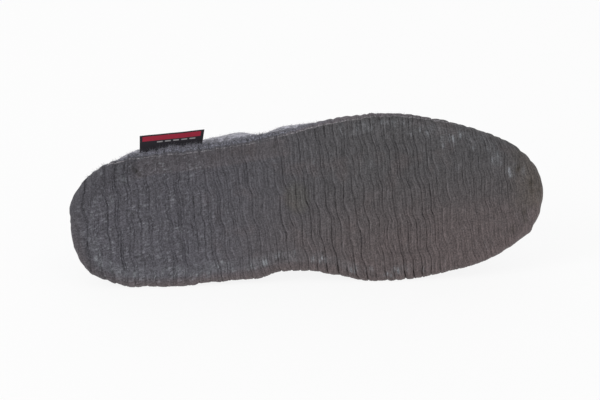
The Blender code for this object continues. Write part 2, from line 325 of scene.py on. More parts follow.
class Nodes:
    """A node tree that grows through one method."""

    def __init__(self, tree: bpy.types.NodeTree) -> None:
        """Keeps the tree."""
        self.tree = tree

    def node(
        self,
        kind: str,
        settings: Union[dict[str, Any], None] = None,
        sockets: Union[dict[Union[int, str], Any], None] = None,
        output: Union[int, str] = 0,
    ) -> Wire:
        """Adds a node.

        Args:
            kind: Type of the node.
            settings: Its settings, set first; points are a curve's.
            sockets: Values or wires for its inputs, by name or number.
            output: The output to give back, by name or number.

        Returns:
            That output.
        """
        made = self.tree.nodes.new(kind)
        for name, value in (settings or {}).items():
            if name == "points":
                self.shape_curve(made.mapping, value)
            else:
                setattr(made, name, value)
        for name, value in (sockets or {}).items():
            if isinstance(value, Wire):
                self.tree.links.new(value.socket, made.inputs[name])
            else:
                made.inputs[name].default_value = value
        return Wire(self, made.outputs[output])

    @staticmethod
    def shape_curve(mapping: bpy.types.CurveMapping, points: Rows) -> None:
        """Gives a float curve straight stretches between points.

        Args:
            mapping: The curve's mapping.
            points: The points.
        """
        curve = mapping.curves[0]
        while len(curve.points) < len(points):
            curve.points.new(0.5, 0.5)
        for handle, place in zip(curve.points, points):
            handle.location = place
            handle.handle_type = "VECTOR"
        mapping.update()

    @classmethod
    def group(cls, name: str, inputs: dict[str, str]) -> tuple["Nodes", Wire]:
        """Starts a geometry node group that takes a mesh.

        Args:
            name: Name of the group.
            inputs: The kind of each input beside the mesh, by name.

        Returns:
            The group's nodes, and its mesh.
        """
        tree = bpy.data.node_groups.new(name, "GeometryNodeTree")
        for socket, kind in {"Geometry": "Geometry", **inputs}.items():
            tree.interface.new_socket(socket, in_out="INPUT", socket_type="NodeSocket" + kind)
        tree.interface.new_socket("Geometry", in_out="OUTPUT", socket_type="NodeSocketGeometry")
        nodes = cls(tree)
        return nodes, nodes.node("NodeGroupInput")

    def named(self, name: str, kind: str = "FLOAT") -> Wire:
        """A named value on a mesh's points."""
        return self.node("GeometryNodeInputNamedAttribute", {"data_type": kind}, {"Name": name})

    def sibling(self, wire: Wire, output: Union[int, str]) -> Wire:
        """Another output of a wire's node."""
        return Wire(self, wire.socket.node.outputs[output])

    def end_with(self, shape: Wire, finish: Wire) -> None:
        """Ends a group with a shape: its copies made real and dressed in a finish.

        Args:
            shape: The shape.
            finish: The material.
        """
        real = self.node("GeometryNodeRealizeInstances", sockets={"Geometry": shape})
        dressed = self.node("GeometryNodeSetMaterial", sockets={"Geometry": real, "Material": finish})
        self.tree.links.new(dressed.socket, self.tree.nodes.new("NodeGroupOutput").inputs[0])


def run_group(piece: bpy.types.Object, group: bpy.types.NodeTree, values: dict[str, Any]) -> None:
    """Runs a geometry node group on a piece, and keeps the plain mesh that it makes.

    Args:
        piece: The piece.
        group: The group.
        values: Values of its inputs, by name.
    """
    modifier = piece.modifiers.new(group.name, "NODES")
    modifier.node_group = group
    for socket in group.interface.items_tree:
        if socket.in_out == "INPUT" and socket.name in values:
            modifier[socket.identifier] = values[socket.name]
    settle_modifiers(piece)
    write_points(piece.data, read_points(piece.data))


class Finish(Nodes):
    """A material with a Principled shader."""

    def __init__(self, name: str, **sockets: Any) -> None:
        """Makes the material; the sockets hold what is the same all over it.

        Args:
            name: Name of the material.
            sockets: The shader's inputs, by name with underscores.
        """
        self.material = bpy.data.materials.new(name)
        self.material.use_nodes = True
        super().__init__(self.material.node_tree)
        self.shader = self.tree.nodes["Principled BSDF"]
        for socket, value in sockets.items():
            self.shader.inputs[socket.replace("_", " ")].default_value = value

    def feed(self, socket: str, wire: Wire) -> None:
        """Links a wire to one of the shader's inputs."""
        self.tree.links.new(wire.socket, self.shader.inputs[socket])

    def place(self) -> Wire:
        """Object coordinates."""
        return self.node("ShaderNodeTexCoord", output="Object")

    def mark(self, name: str) -> Wire:
        """A named vector on the piece's points."""
        return self.node("ShaderNodeAttribute", {"attribute_name": name}, output="Vector")

    def number(self, name: str) -> Wire:
        """A named number on the piece's points."""
        return self.node("ShaderNodeAttribute", {"attribute_name": name}, output="Fac")

    def parts(self, vector: Wire) -> tuple[Wire, Wire, Wire]:
        """The three numbers of a vector."""
        first = self.node("ShaderNodeSeparateXYZ", sockets={0: vector})
        return first, self.sibling(first, 1), self.sibling(first, 2)

    def vector(self, x: Operand, y: Operand, z: Operand = 0.0) -> Wire:
        """A vector from three numbers."""
        return self.node("ShaderNodeCombineXYZ", sockets={0: x, 1: y, 2: z})

    def cloud(self, where: Wire, grain: float, detail: float = 2.0) -> Wire:
        """Soft noise from 0 to 1 with grains of a real size."""
        sockets = {"Vector": where, "Scale": 1 / grain, "Detail": detail}
        return self.node("ShaderNodeTexNoise", sockets=sockets)

    def dots(self, where: Wire, apart: float) -> tuple[Wire, Wire]:
        """Distance to the nearest of scattered points, in spacings, and a random number for each point.

        Args:
            where: Places.
            apart: Spacing of the points.

        Returns:
            The distance and the number.
        """
        far = self.node("ShaderNodeTexVoronoi", sockets={"Vector": where, "Scale": 1 / apart})
        chance, _, _ = self.parts(self.sibling(far, "Color"))
        return far, chance

    def mix(self, first: Union[Wire, Colour], second: Union[Wire, Colour], share: Operand) -> Wire:
        """A colour between two colours."""
        ends = [c if isinstance(c, Wire) else (*c, 1.0) for c in (first, second)]
        return self.node("ShaderNodeMix", {"data_type": "RGBA"}, {0: share, 6: ends[0], 7: ends[1]}, 2)

    def shade(self, colour: Union[Wire, Colour], amount: Wire) -> Wire:
        """A colour made lighter or darker by a number."""
        return self.node("ShaderNodeVectorMath", {"operation": "SCALE"}, {0: colour, "Scale": amount})

    def relief(self, height: Wire, depth: float) -> None:
        """Bump on the whole surface, with a real depth."""
        self.feed("Normal", self.node("ShaderNodeBump", sockets={"Height": height, "Distance": depth}))


# The last, and how the slipper lies


@dataclass(frozen=True)
class Last:
    """Form that the slipper is made on, and how the finished slipper lies on the floor."""

    length: float = 270 * MM
    throat: float = 129 * MM
    throat_from: float = 80 * MM
    throat_squareness: float = 2.2
    heel_centre: float = 40 * MM
    toe_centre: float = 214 * MM
    toe_spring: float = 6.0 * MM
    toe_spring_from: float = 0.76
    heel_spring: float = 1.2 * MM
    heel_spring_to: float = 0.10
    arch_rise: float = 1.2 * MM
    arch_span: tuple[float, float] = (0.27, 0.56)
    lean: float = math.radians(8.0)
    toe_lift: float = math.radians(3.26)
    floor_drop: float = 45.3 * MM
    middle_along: float = 135.15 * MM
    middle_back: float = 33.2 * MM
    # share of length, half width in mm, middle in mm
    outline: Rows = (
        (0.00, 0.0, -3.2),
        (0.02, 22.6, -3.3),
        (0.05, 30.0, -2.7),
        (0.10, 36.3, -2.1),
        (0.17, 39.9, -1.1),
        (0.28, 40.6, -0.4),
        (0.38, 40.9, 0.7),
        (0.45, 40.8, 2.9),
        (0.50, 42.3, 3.2),
        (0.55, 45.0, 2.7),
        (0.60, 47.8, 1.2),
        (0.66, 49.1, 0.4),
        (0.72, 47.9, -0.3),
        (0.78, 44.9, -1.2),
        (0.84, 40.8, -2.6),
        (0.90, 34.5, -3.4),
        (0.96, 24.1, -4.1),
        (1.00, 0.0, -4.2),
    )
    # share of length, ridge above the tread in mm, its place towards the inner side in mm
    ridge: Rows = (
        (0.00, 82.0, 0.0),
        (0.22, 82.0, 1.0),
        (0.33, 80.0, 2.0),
        (0.41, 76.5, 3.0),
        (0.50, 68.5, 4.0),
        (0.60, 58.0, 4.0),
        (0.70, 47.5, 3.0),
        (0.80, 38.5, 1.5),
        (1.00, 31.0, 0.0),
    )
    # share of length, collar above the tread in mm
    collar: Rows = ((0.00, 61.0), (0.10, 58.5), (0.20, 54.0), (0.29, 51.0), (0.36, 50.5))

    @staticmethod
    def turn_of(share: Union[Array, float]) -> Array:
        """A station along the sole as a share of a half turn, which rounds both ends of the outline."""
        return np.arccos(np.clip(1 - 2 * np.asarray(share, float), -1, 1)) / math.pi

    def along_of(self, turn: Union[Array, float]) -> Array:
        """Distance from the back of the heel at a share of the half turn."""
        return self.length * (1 - np.cos(math.pi * np.asarray(turn, float))) / 2

    def middle_of(self, turn: Union[Array, float]) -> Array:
        """Middle line of the sole, across."""
        share, _, middle = columns(self.outline)
        return smooth(self.turn_of(share), middle * MM, turn)

    def edge(self, turn: Union[Array, float], side: Side, outwards: float = 0.0) -> tuple[Array, Array]:
        """The sole's side outline, or a line beside it.

        Args:
            turn: Stations as shares of the half turn.
            side: The side of the foot.
            outwards: Distance outside the outline.

        Returns:
            Points, and their outward directions.
        """
        share, half, _ = columns(self.outline)
        knots = self.turn_of(share)
        step = 1e-4

        def on_edge(at: Array) -> Array:
            """Points on the outline itself."""
            across = self.middle_of(at) + side.value * smooth(knots, half * MM, at)
            return np.stack([self.along_of(at), across], axis=-1)

        turn = np.asarray(turn, float)
        way = on_edge(np.clip(turn + step, 0, 1)) - on_edge(np.clip(turn - step, 0, 1))
        way /= np.linalg.norm(way, axis=-1, keepdims=True)
        out = side.value * np.stack([-way[..., 1], way[..., 0]], axis=-1)
        out = np.where((turn <= step)[..., None], np.array([-1.0, 0.0]), out)
        out = np.where((turn >= 1 - step)[..., None], np.array([1.0, 0.0]), out)
        return on_edge(turn) + out * outwards, out

    def loop(self, outwards: float, steps: int = 360) -> tuple[Array, Array]:
        """Closed outline, up the outer side and down the inner side, with its outward directions.

        Args:
            outwards: Distance outside the tread's edge.
            steps: Number of points.

        Returns:
            The points and the directions.
        """
        turns = np.linspace(0, 1, steps // 2 + 1)
        outer, outer_way = self.edge(turns, Side.OUTER, outwards)
        inner, inner_way = self.edge(turns[-2:0:-1], Side.INNER, outwards)
        return np.concatenate([outer, inner]), np.concatenate([outer_way, inner_way])

    def tread_height(self, along: Array) -> Array:
        """Height of the tread over flat ground: risen at toe, arch and heel end.

        Args:
            along: Places along the sole.

        Returns:
            The heights.
        """
        share = np.asarray(along, float) / self.length
        past_ball = (share - self.toe_spring_from) / (1 - self.toe_spring_from)
        toe = self.toe_spring * np.clip(past_ball, 0, None) ** 2
        heel = self.heel_spring * np.clip(1 - share / self.heel_spring_to, 0, None) ** 2
        start, end = self.arch_span
        arch = np.sin(math.pi * np.clip((share - start) / (end - start), 0, 1)) ** 2
        return toe + heel + self.arch_rise * arch

    def turn_down(self, along: Array, across: Array, height: Array) -> Array:
        """A direction of the slipper as it lies on its inner side.

        Args:
            along: Part along the sole.
            across: Part across it.
            height: Part up from it.

        Returns:
            The direction in the frame.
        """
        lifted = along * math.sin(self.toe_lift) + across * math.cos(self.toe_lift)
        x = along * math.cos(self.toe_lift) - across * math.sin(self.toe_lift)
        y = height * math.cos(self.lean) + lifted * math.sin(self.lean)
        z = lifted * math.cos(self.lean) - height * math.sin(self.lean)
        return np.stack([x, y, z], axis=-1)

    def settled(self, points: Array) -> Array:
        """Points on the tread's curve, laid down, with what would go under the floor pressed flat on it.

        Args:
            points: Points of the slipper on flat ground.

        Returns:
            The points in the frame.
        """
        along, across, height = points[..., 0], points[..., 1], points[..., 2]
        laid = self.turn_down(along - self.middle_along, across, height + self.tread_height(along))
        laid = laid + np.array([0.0, -self.middle_back, self.floor_drop])
        laid[..., 2] = np.maximum(laid[..., 2], 0)
        return laid


# Rubber sole


class SoleLook(Finish):
    """The rubber's material while it is made: values on the sole's points, and places that marks share."""

    def __init__(self, name: str, grain: float, speck_apart: float) -> None:
        """Reads the values and finds the shared places.

        Args:
            name: Name of the material.
            grain: Size of the rubber's grains.
            speck_apart: Distance between pale specks.
        """
        super().__init__(name, Specular_IOR_Level=0.3)
        self.along, self.across, self.past = self.parts(self.mark("sheet"))
        self.rib = self.number("rib")
        self.groove = self.number("groove")
        self.outer = self.number("outer")
        self.over = self.number("over")
        self.scuff = self.number("scuff")
        self.smudge = self.number("smudge")
        self.sheet = self.vector(self.along, self.across)
        self.where = self.place()

        self.inner = self.across.ease(26 * MM, -38 * MM)
        self.spread = self.cloud(self.sheet, 11 * MM)
        in_heel = self.towards(112, 62) * self.past.ease(8 * MM, 2 * MM)
        self.heel = in_heel * (0.5 + self.spread.ease(0.38, 0.6) * 0.5)
        rubbed = self.past + self.towards(165, 140) * (3.0 * MM)
        inner_corner = (1 - self.outer) * rubbed.within(-3.0 * MM, 1.0 * MM, 2.5 * MM)
        self.inner_corner = inner_corner * self.run(18, 192, 15)
        self.fuzzy = self.outer * self.over.ease(0.7 * MM, 2.2 * MM) * self.towards(166, 128)

        self.ridge = self.groove.ease(0.45, 0.15)
        slanted = self.vector(self.rib * (3.4 * MM), self.across - self.along * 0.22)
        self.rung = self.cloud(slanted, 1.4 * MM, 1.0)
        self.pebble = self.rung.ease(0.34, 0.66) * (0.3 + self.ridge * 0.7)
        self.thin, self.luck = self.dots(self.ribbed(6.2 * MM, 0.36), speck_apart)
        self.fluff = self.cloud(self.where, 0.9 * MM, 4.0)
        self.grains = self.cloud(self.where, grain, 2.0).ease(0.30, 0.70)
        self.streak = self.cloud(self.ribbed(5.5 * MM, 0.10), 0.65 * MM, 1.0).ease(0.30, 0.70)

    def towards(self, start: float, end: float) -> Wire:
        """0 at one place along the sole and 1 at another, both in mm."""
        return self.along.ease(start * MM, end * MM)

    def run(self, low: float, high: float, soft: float) -> Wire:
        """1 between two places along the sole, easing to 0 over a soft edge outside them, all in mm."""
        return self.along.within(low * MM, high * MM, soft * MM)

    def ribbed(self, apart: float, stretch: float) -> Wire:
        """Places for a pattern that follows the ribs.

        Args:
            apart: Distance that stands for one rib.
            stretch: How much of a step across counts; less draws the pattern out along the ribs.

        Returns:
            The places.
        """
        return self.vector(self.rib * apart, self.across * stretch)


@dataclass(frozen=True)
class RubberFinish:
    """Dark grey rubber, dull, cooler at the heel and warmer at the inner side of the toe."""

    heel: Colour = (0.0634, 0.0609, 0.0720)
    front: Colour = (0.0600, 0.0574, 0.0606)
    inner_front: Colour = (0.0770, 0.0618, 0.0622)
    rusty: Colour = (0.095, 0.074, 0.074)
    # pale colour of rubbed rubber, also used for painted sheen and painted reflection
    bloom_and_sheen: Colour = (0.165, 0.172, 0.186)
    moss: Colour = (0.062, 0.060, 0.046)
    # pale seam line: partly rubber worn paler, partly a painted highlight on the raised bead
    pale_seam_and_highlight: Colour = (0.27, 0.255, 0.27)
    lip: Colour = (0.092, 0.079, 0.090)
    earth: Colour = (0.072, 0.059, 0.048)
    # wool on the rim, its darkness partly painted shade low on the felt by the sole
    band: Colour = (0.080, 0.081, 0.099)
    roughness: float = 0.62
    grain: float = 0.75 * MM
    grain_depth: float = 0.3 * MM
    speck_apart: float = 2.1 * MM
    stain_at: tuple[float, float] = (130 * MM, 6 * MM)
    stain_size: float = 8 * MM
    # shares of other colours in the rubber's own
    rust_in_clouds: float = 0.26
    rust_in_band: float = 0.2
    rust_at_toe: float = 0.25
    rust_at_heel_edge: float = 0.35
    rust_at_front_edge: float = 0.4
    stain_share: float = 0.36
    earth_at_tip: float = 0.5
    earth_in_smudges: float = 0.6
    lip_share: float = 0.8
    shaded_wool_share: float = 0.85
    # how pale the rubber is rubbed, with painted sheen on the heel's crests and painted reflection along the
    # corners
    most_bloom: float = 0.85
    heel_specks_and_sheen: float = 0.60
    other_specks: float = 0.08
    corner_flecks: float = 0.9
    scuff_flecks: float = 1.5
    other_flecks: float = 0.06
    corner_reflection_and_bloom: float = 0.12
    row_reflection_and_bloom: float = 0.45
    scuff_bloom: float = 0.30
    # along from, to and soft edge in mm, and amount: stretches where the seam line is clear
    clear_line: Rows = ((24, 33, 2, 0.8), (134, 172, 8, 0.25), (196, 226, 6, 0.25))
    # how much lighter or darker, with painted shade in the grooves, nicks, under the seam line and on
    # turned-up edges, and painted highlights beside the grooves
    least_light: float = 0.36
    grain_light: float = 0.78
    mottle_light: float = 0.14
    streak_light: float = 0.29
    waist_streaks: float = 0.08
    toe_streaks: float = 0.05
    inner_light: float = 0.12
    pebble_light: float = 0.40
    # painted highlights: thin lines beside each groove, and on the raised lips where the groove is shallowest
    painted_lip_highlight: float = 0.43
    painted_ridge_highlight: float = 0.16
    # painted shade in the grooves, broadest at the heel, and in the nicks
    painted_groove_shade: float = 0.30
    front_painted_groove_shade: float = 0.05
    broad_painted_groove_shade: float = 0.05
    painted_nick_shade: float = 0.3
    smudge_dark: float = 0.6
    # painted shadow just under the seam line
    painted_shadow_under_line: float = 0.13
    # painted shade on the turned-up edges at the heel and the outer side, where they face the light
    painted_shade_on_turned_edges: float = 0.25

    def make(self) -> bpy.types.Material:
        """Makes the material.

        Returns:
            The material.
        """
        look = SoleLook("rubber_finish", self.grain, self.speck_apart)
        worn = self.wear_sheen_and_reflection(look)
        colour = look.mix(self.ground(look), self.bloom_and_sheen, worn.at_most(self.most_bloom))
        look.feed("Base Color", look.shade(self.rim(look, colour), self.lightness(look)))
        look.feed("Roughness", self.roughness + (look.grains - 0.5) * 0.15 - worn * 0.1)
        height = look.grains * 0.5 + look.streak * 0.5 + look.pebble * look.heel
        look.relief(height + look.fluff * look.fuzzy * 1.2, self.grain_depth)
        return look.material

    def ground(self, look: SoleLook) -> Wire:
        """The rubber's own colour, with its clouds and stains.

        Args:
            look: The material.

        Returns:
            The colour.
        """
        colour = look.mix(self.heel, self.front, look.towards(60, 180))
        colour = look.mix(colour, self.inner_front, look.inner * look.towards(55, 205))
        tone = look.cloud(look.sheet, 15 * MM, 4.0).ease(0.50, 0.70)
        colour = look.mix(colour, self.rusty, tone * look.towards(30, 130) * self.rust_in_clouds)
        plain = look.outer * look.past.within(-6 * MM, 2 * MM, 2 * MM) * look.run(44, 122, 10)
        inner_toe = look.run(214, 250, 16) * look.across.within(-34 * MM, -12 * MM, 10 * MM)
        colour = look.mix(colour, self.rusty, plain * self.rust_in_band + inner_toe * self.rust_at_toe)
        inner_edge = (1 - look.outer) * look.past.ease(-3 * MM, 5 * MM)
        edge_rust = self.rust_at_heel_edge + look.towards(10, 40) * self.rust_at_front_edge
        colour = look.mix(colour, self.rusty, inner_edge * edge_rust)
        stain_x = (look.along - self.stain_at[0]) / self.stain_size
        stain_y = (look.across - self.stain_at[1]) / (self.stain_size * 1.3)
        stain = (stain_x * stain_x + stain_y * stain_y).ease(1.3, 0.1)
        colour = look.mix(colour, self.moss, stain * self.stain_share)
        toe_tip = look.towards(246, 264) * look.across.within(-8 * MM, 20 * MM, 8 * MM)
        soiled = toe_tip * self.earth_at_tip + look.smudge * self.earth_in_smudges
        colour = look.mix(colour, self.earth, soiled.at_most(1.0))
        lip_band = look.outer * look.over.ease(0.1 * MM, 0.8 * MM) * look.run(136, 206, 14)
        return look.mix(colour, self.lip, lip_band * self.lip_share)

    def wear_sheen_and_reflection(self, look: SoleLook) -> Wire:
        """How pale the rubber is rubbed: over the heel, along the corners and in single spots; the pale
        specks on the heel's crests are partly painted sheen, and the pale along the corners partly painted
        reflection.

        Args:
            look: The material.

        Returns:
            0 where it is as new, more where it is paler.
        """
        outer_corner = look.outer * look.past.within(-2.5 * MM, 2.5 * MM, 2.5 * MM) * look.run(158, 236, 12)
        far, chance = look.dots(look.sheet, self.speck_apart)
        dot = far.ease(0.55, 0.05) * chance.ease(0.45, 1.0) * 0.7
        # partly painted sheen: pale specks on the crests of the heel's ribs
        speck = (look.rung.ease(0.58, 0.74) * 0.55 + dot) * look.ridge
        fleck = look.thin.ease(0.50, 0.12) * look.luck.ease(0.30, 0.75)
        # partly painted reflection: paler along the inner and outer corners
        row = look.inner_corner * look.towards(128, 108) * self.row_reflection_and_bloom
        corner = (look.inner_corner + outer_corner) * look.spread.ease(0.35, 0.62) + row
        specks = speck * (look.heel * self.heel_specks_and_sheen + self.other_specks)
        flecks = fleck * (corner * self.corner_flecks + look.scuff * self.scuff_flecks + self.other_flecks)
        return specks + flecks + corner * self.corner_reflection_and_bloom + look.scuff * self.scuff_bloom

    def rim(self, look: SoleLook, colour: Wire) -> Wire:
        """Adds the wool that clings to the rim on the outer side, painted dark for the shade low on the felt,
        and the pale seam line under it, partly worn paler and partly a painted highlight.

        Args:
            look: The material.
            colour: The rubber's colour.

        Returns:
            The colour with both on it.
        """
        # wool and dust on the rim, painted darker than the felt for the shade by the sole
        wool = look.shade(self.band, 0.30 + look.fluff.ease(0.36, 0.64) * 1.6)
        colour = look.mix(colour, wool, look.fuzzy * self.shaded_wool_share)
        # pale seam line along the bead, partly a painted highlight
        line = look.outer * look.over.within(-0.16 * MM, 0.16 * MM, 0.3 * MM) * look.run(25, 226, 3)
        broken = look.cloud(look.sheet, 1.7 * MM).ease(0.38, 0.62) * (0.6 + look.towards(150, 120) * 0.4)
        shown = broken * 0.6
        for low, high, soft, amount in self.clear_line:
            shown = shown + look.run(low, high, soft) * amount
        return look.mix(colour, self.pale_seam_and_highlight, line * shown.at_most(0.9))

    def lightness(self, look: SoleLook) -> Wire:
        """How light the rubber is at each place, beside its colour, with painted shade in the grooves and
        nicks, under the seam line and on the turned-up edges, and painted highlights beside the grooves.

        Args:
            look: The material.

        Returns:
            What the colour is multiplied by.
        """
        mottle = look.cloud(look.where, 2.2 * MM, 2.0).ease(0.30, 0.70)
        light = self.least_light + look.grains * self.grain_light + mottle * self.mottle_light
        light = light + look.streak * self.streak_light + look.inner * self.inner_light
        # painted shade: darker in the grooves and nicks
        painted_shade_in_groove = self.painted_groove_shade + look.towards(90, 130) * self.front_painted_groove_shade
        light = light - look.groove.ease(0.25, 0.95) * painted_shade_in_groove - look.groove.ease(1.2, 2.0) * self.painted_nick_shade
        # painted highlight on the raised lips and crests
        light = light + look.groove.ease(0.07, 0.0) * self.painted_ridge_highlight
        clear = look.towards(60, 110) * self.waist_streaks + look.towards(150, 205) * self.toe_streaks
        light = light + (look.streak - 0.5) * clear
        # painted shade over a broad band round each groove at the heel
        broad = (look.rib.fraction() - 0.5).size().ease(0.34, 0.50) * look.towards(105, 75)
        light = light + (look.pebble - 0.44) * look.heel * self.pebble_light - broad * self.broad_painted_groove_shade
        # painted shadow in a band just under the seam line
        under = look.outer * look.over.within(-2.6 * MM, -0.6 * MM, 0.6 * MM) * look.run(134, 200, 12)
        light = light * (1 - look.smudge * self.smudge_dark) * (1 - under * self.painted_shadow_under_line)
        # painted highlight: thin pale lines beside the grooves, in patches
        lip = (look.rib * 2).fraction().within(0.20, 0.34, 0.08) * look.towards(60, 100)
        caught = look.cloud(look.ribbed(11 * MM, 0.12), 1.0 * MM).ease(0.44, 0.66)
        light = light + lip * caught * self.painted_lip_highlight
        pits = look.inner_corner * (0.3 + look.run(124, 154, 8) * 0.4)
        light = light - look.thin.ease(0.50, 0.12) * look.luck.ease(0.30, 0.12) * pits
        # painted shade: the turned-up edges are darkened against the light they face
        turned = (look.outer * look.towards(130, 105) + look.towards(32, 12)).at_most(1.0)
        return light * (1 - look.past.ease(-9 * MM, 1 * MM) * turned * (1 - look.fuzzy) * self.painted_shade_on_turned_edges)


@dataclass(frozen=True)
class RubberSole:
    """Shallow rubber cup with wavy ribs across it, bent up all round from one sheet."""

    last: Last
    thickness: float = 4.0 * MM
    side_height: float = 10.5 * MM
    side_wall: float = 2.0 * MM
    side_lean: float = math.radians(12.0)
    corner_radius: float = 6.0 * MM
    rim_round: float = 0.45 * MM
    rim_wave: float = 0.25 * MM
    rim_wave_points: float = 9.0
    # place along and pitch of the ribs there, in mm
    rib_pitch: Rows = ((-10.0, 6.2), (50.0, 5.9), (90.0, 5.5), (200.0, 5.2), (285.0, 4.4))
    rib_depth: float = 0.62 * MM
    rib_uneven: float = 0.07
    paired_front: float = 0.14
    paired_heel: float = 0.11
    fade_length: float = 13 * MM
    end_gap: float = 0.13
    least_step: float = 0.03 * MM
    middle_columns: int = 28
    edge_columns: int = 25
    edge_share: float = 0.28
    kink_apart: float = 21 * MM
    kink_drift: float = 80 * MM
    kink_from: float = 0.60
    kink_heel: float = 2.1
    kink_front: float = 1.9
    tilt_heel: float = 0.01
    tilt_front: float = -0.08
    # size across and along in mm, amount in mm, and seed: how a rib wobbles between its steps
    wobbles: tuple[tuple[float, float, float, int], ...] = (
        (10.0, 20.0, 0.8, 72),
        (4.0, 5.0, 0.24, 73),
        (1.6, 2.2, 0.10, 74),
    )
    # along and past the tread's edge in mm: the raised seam line on the outer side
    bead: Rows = (
        (24.0, 7.7),
        (29.0, 6.5),
        (34.0, 5.7),
        (41.0, 4.7),
        (56.0, 3.5),
        (72.0, 3.0),
        (88.0, 3.4),
        (109.0, 3.4),
        (118.0, 3.8),
        (127.0, 4.4),
        (138.0, 5.0),
        (157.0, 5.0),
        (170.0, 5.4),
        (190.0, 6.2),
        (211.0, 7.0),
        (225.0, 8.0),
    )
    bead_half: float = 0.45 * MM
    bead_height: float = 0.35 * MM
    smooth_band: tuple[float, float] = (-6 * MM, 3 * MM)
    smooth_span: tuple[float, float] = (44 * MM, 116 * MM)
    # phase from one groove to the next, depth as a share: a groove, and a lesser one half way
    rib_profile: Rows = (
        (0.00, 1.00),
        (0.043, 0.64),
        (0.088, 0.13),
        (0.13, 0.00),
        (0.30, 0.13),
        (0.42, 0.05),
        (0.472, 0.38),
        (0.505, 0.57),
        (0.538, 0.38),
        (0.59, 0.05),
        (0.73, 0.13),
        (0.88, 0.00),
        (0.957, 0.58),
    )
    # along, across, radius in mm and amount: pale rubbed spots
    scuffs: Rows = (
        (31.0, 31.9, 1.3, 0.7),
        (32.6, 24.4, 1.5, 0.7),
        (16.0, 14.9, 1.4, 0.5),
        (25.0, 11.8, 1.5, 0.6),
        (60.2, 12.9, 1.7, 0.5),
        (42.2, -4.2, 1.2, 0.6),
        (62.7, -7.2, 1.2, 0.6),
        (24.6, -29.3, 1.7, 0.6),
        (34.0, -30.3, 2.0, 0.3),
        (21.0, 30.0, 1.0, 0.6),
        (141.0, 25.9, 0.9, 0.6),
        (173.2, 22.4, 1.8, 0.4),
        (171.5, 45.5, 1.6, 0.6),
        (182.0, 46.0, 1.4, 0.6),
        (192.5, 45.5, 1.5, 0.6),
        (187.5, 44.0, 1.6, 0.5),
        (196.2, 43.5, 1.8, 0.6),
        (208.8, 39.5, 1.7, 0.6),
        (214.8, 31.4, 2.4, 0.6),
        (220.3, 30.4, 1.6, 0.5),
        (221.8, 15.7, 1.0, 0.6),
        (236.9, 31.4, 1.9, 0.8),
        (243.9, 17.9, 2.7, 1.0),
        (251.5, 9.8, 2.0, 0.9),
        (254.5, 13.5, 1.5, 0.6),
        (259.0, 9.5, 1.6, 0.7),
    )
    # the same columns, the amount in mm: bulges of the border
    bulges: Rows = (
        (261.0, -26.5, 3.2, 1.0),
        (266.0, -15.0, 3.0, 0.4),
        (4.0, -19.0, 3.0, 0.6),
        (10.0, -29.0, 2.6, 0.4),
        (-1.0, 10.5, 3.0, 0.7),
        (104.0, -40.0, 7.0, 0.8),
    )
    # the same columns: dark nicks
    nicks: Rows = ((39.6, 30.6, 0.7, 1.2), (41.2, 29.0, 0.7, 1.4), (42.6, 27.2, 0.6, 1.2))
    # the same columns: dark smudges at the toe and in the nicks
    smudges: Rows = (
        (256.0, 11.5, 1.5, 0.9),
        (263.0, 2.5, 1.3, 0.8),
        (263.2, -2.5, 1.2, 0.6),
        (258.0, -14.5, 1.4, 0.8),
        (258.6, -19.0, 1.2, 0.7),
        (267.5, -2.5, 1.0, 0.7),
        (251.0, -24.0, 1.6, 0.5),
        (39.6, 30.6, 0.7, 0.5),
        (41.2, 29.0, 0.7, 0.7),
        (42.6, 27.2, 0.6, 0.6),
    )

    @property
    def arc_turn(self) -> float:
        """Angle of the corner between tread and side."""
        return math.pi / 2 + self.side_lean

    @property
    def wrap_arc(self) -> float:
        """Length of the sheet in the corner."""
        return self.corner_radius * self.arc_turn

    @property
    def wrap(self) -> float:
        """Length of the sheet from the tread's edge to the rim."""
        arc_height = self.corner_radius * (1 - math.cos(self.arc_turn))
        return self.wrap_arc + (self.side_height - arc_height) / math.cos(self.side_lean)

    @property
    def rim_inset(self) -> float:
        """How far the rim lies inside the widest outline."""
        in_corner = self.corner_radius * (1 - math.sin(self.arc_turn))
        return in_corner + (self.wrap - self.wrap_arc) * math.sin(self.side_lean)

    @property
    def sheet_out(self) -> float:
        """How far the flat sheet would reach outside the outline."""
        return self.wrap - self.corner_radius - self.rim_round

    def rib_shift(self, along: Array, across: Array) -> Array:
        """How far a rib wanders along the sole: nearly straight runs with short steps between them.

        Args:
            along: The rib's own place.
            across: Places across the sole.

        Returns:
            Shift towards the toe.
        """
        in_front = ease(along, 45 * MM, 110 * MM)
        place = along / self.kink_drift - across / self.kink_apart
        place = place + 0.50 * patches(along / (17 * MM), 0 * along, 71)
        place = place + 0.13 * patches(along / (7 * MM), across / (40 * MM), 75)
        past_step = place - np.floor(place)
        size = self.kink_heel + (self.kink_front - self.kink_heel) * in_front
        tilt = self.tilt_heel + (self.tilt_front - self.tilt_heel) * in_front
        shift = size * (ease(past_step, self.kink_from, 1.0) - past_step) + tilt * across / MM
        for wide, long, amount, seed in self.wobbles:
            shift = shift + amount * patches(across / (wide * MM), along / (long * MM), seed)
        return shift * MM

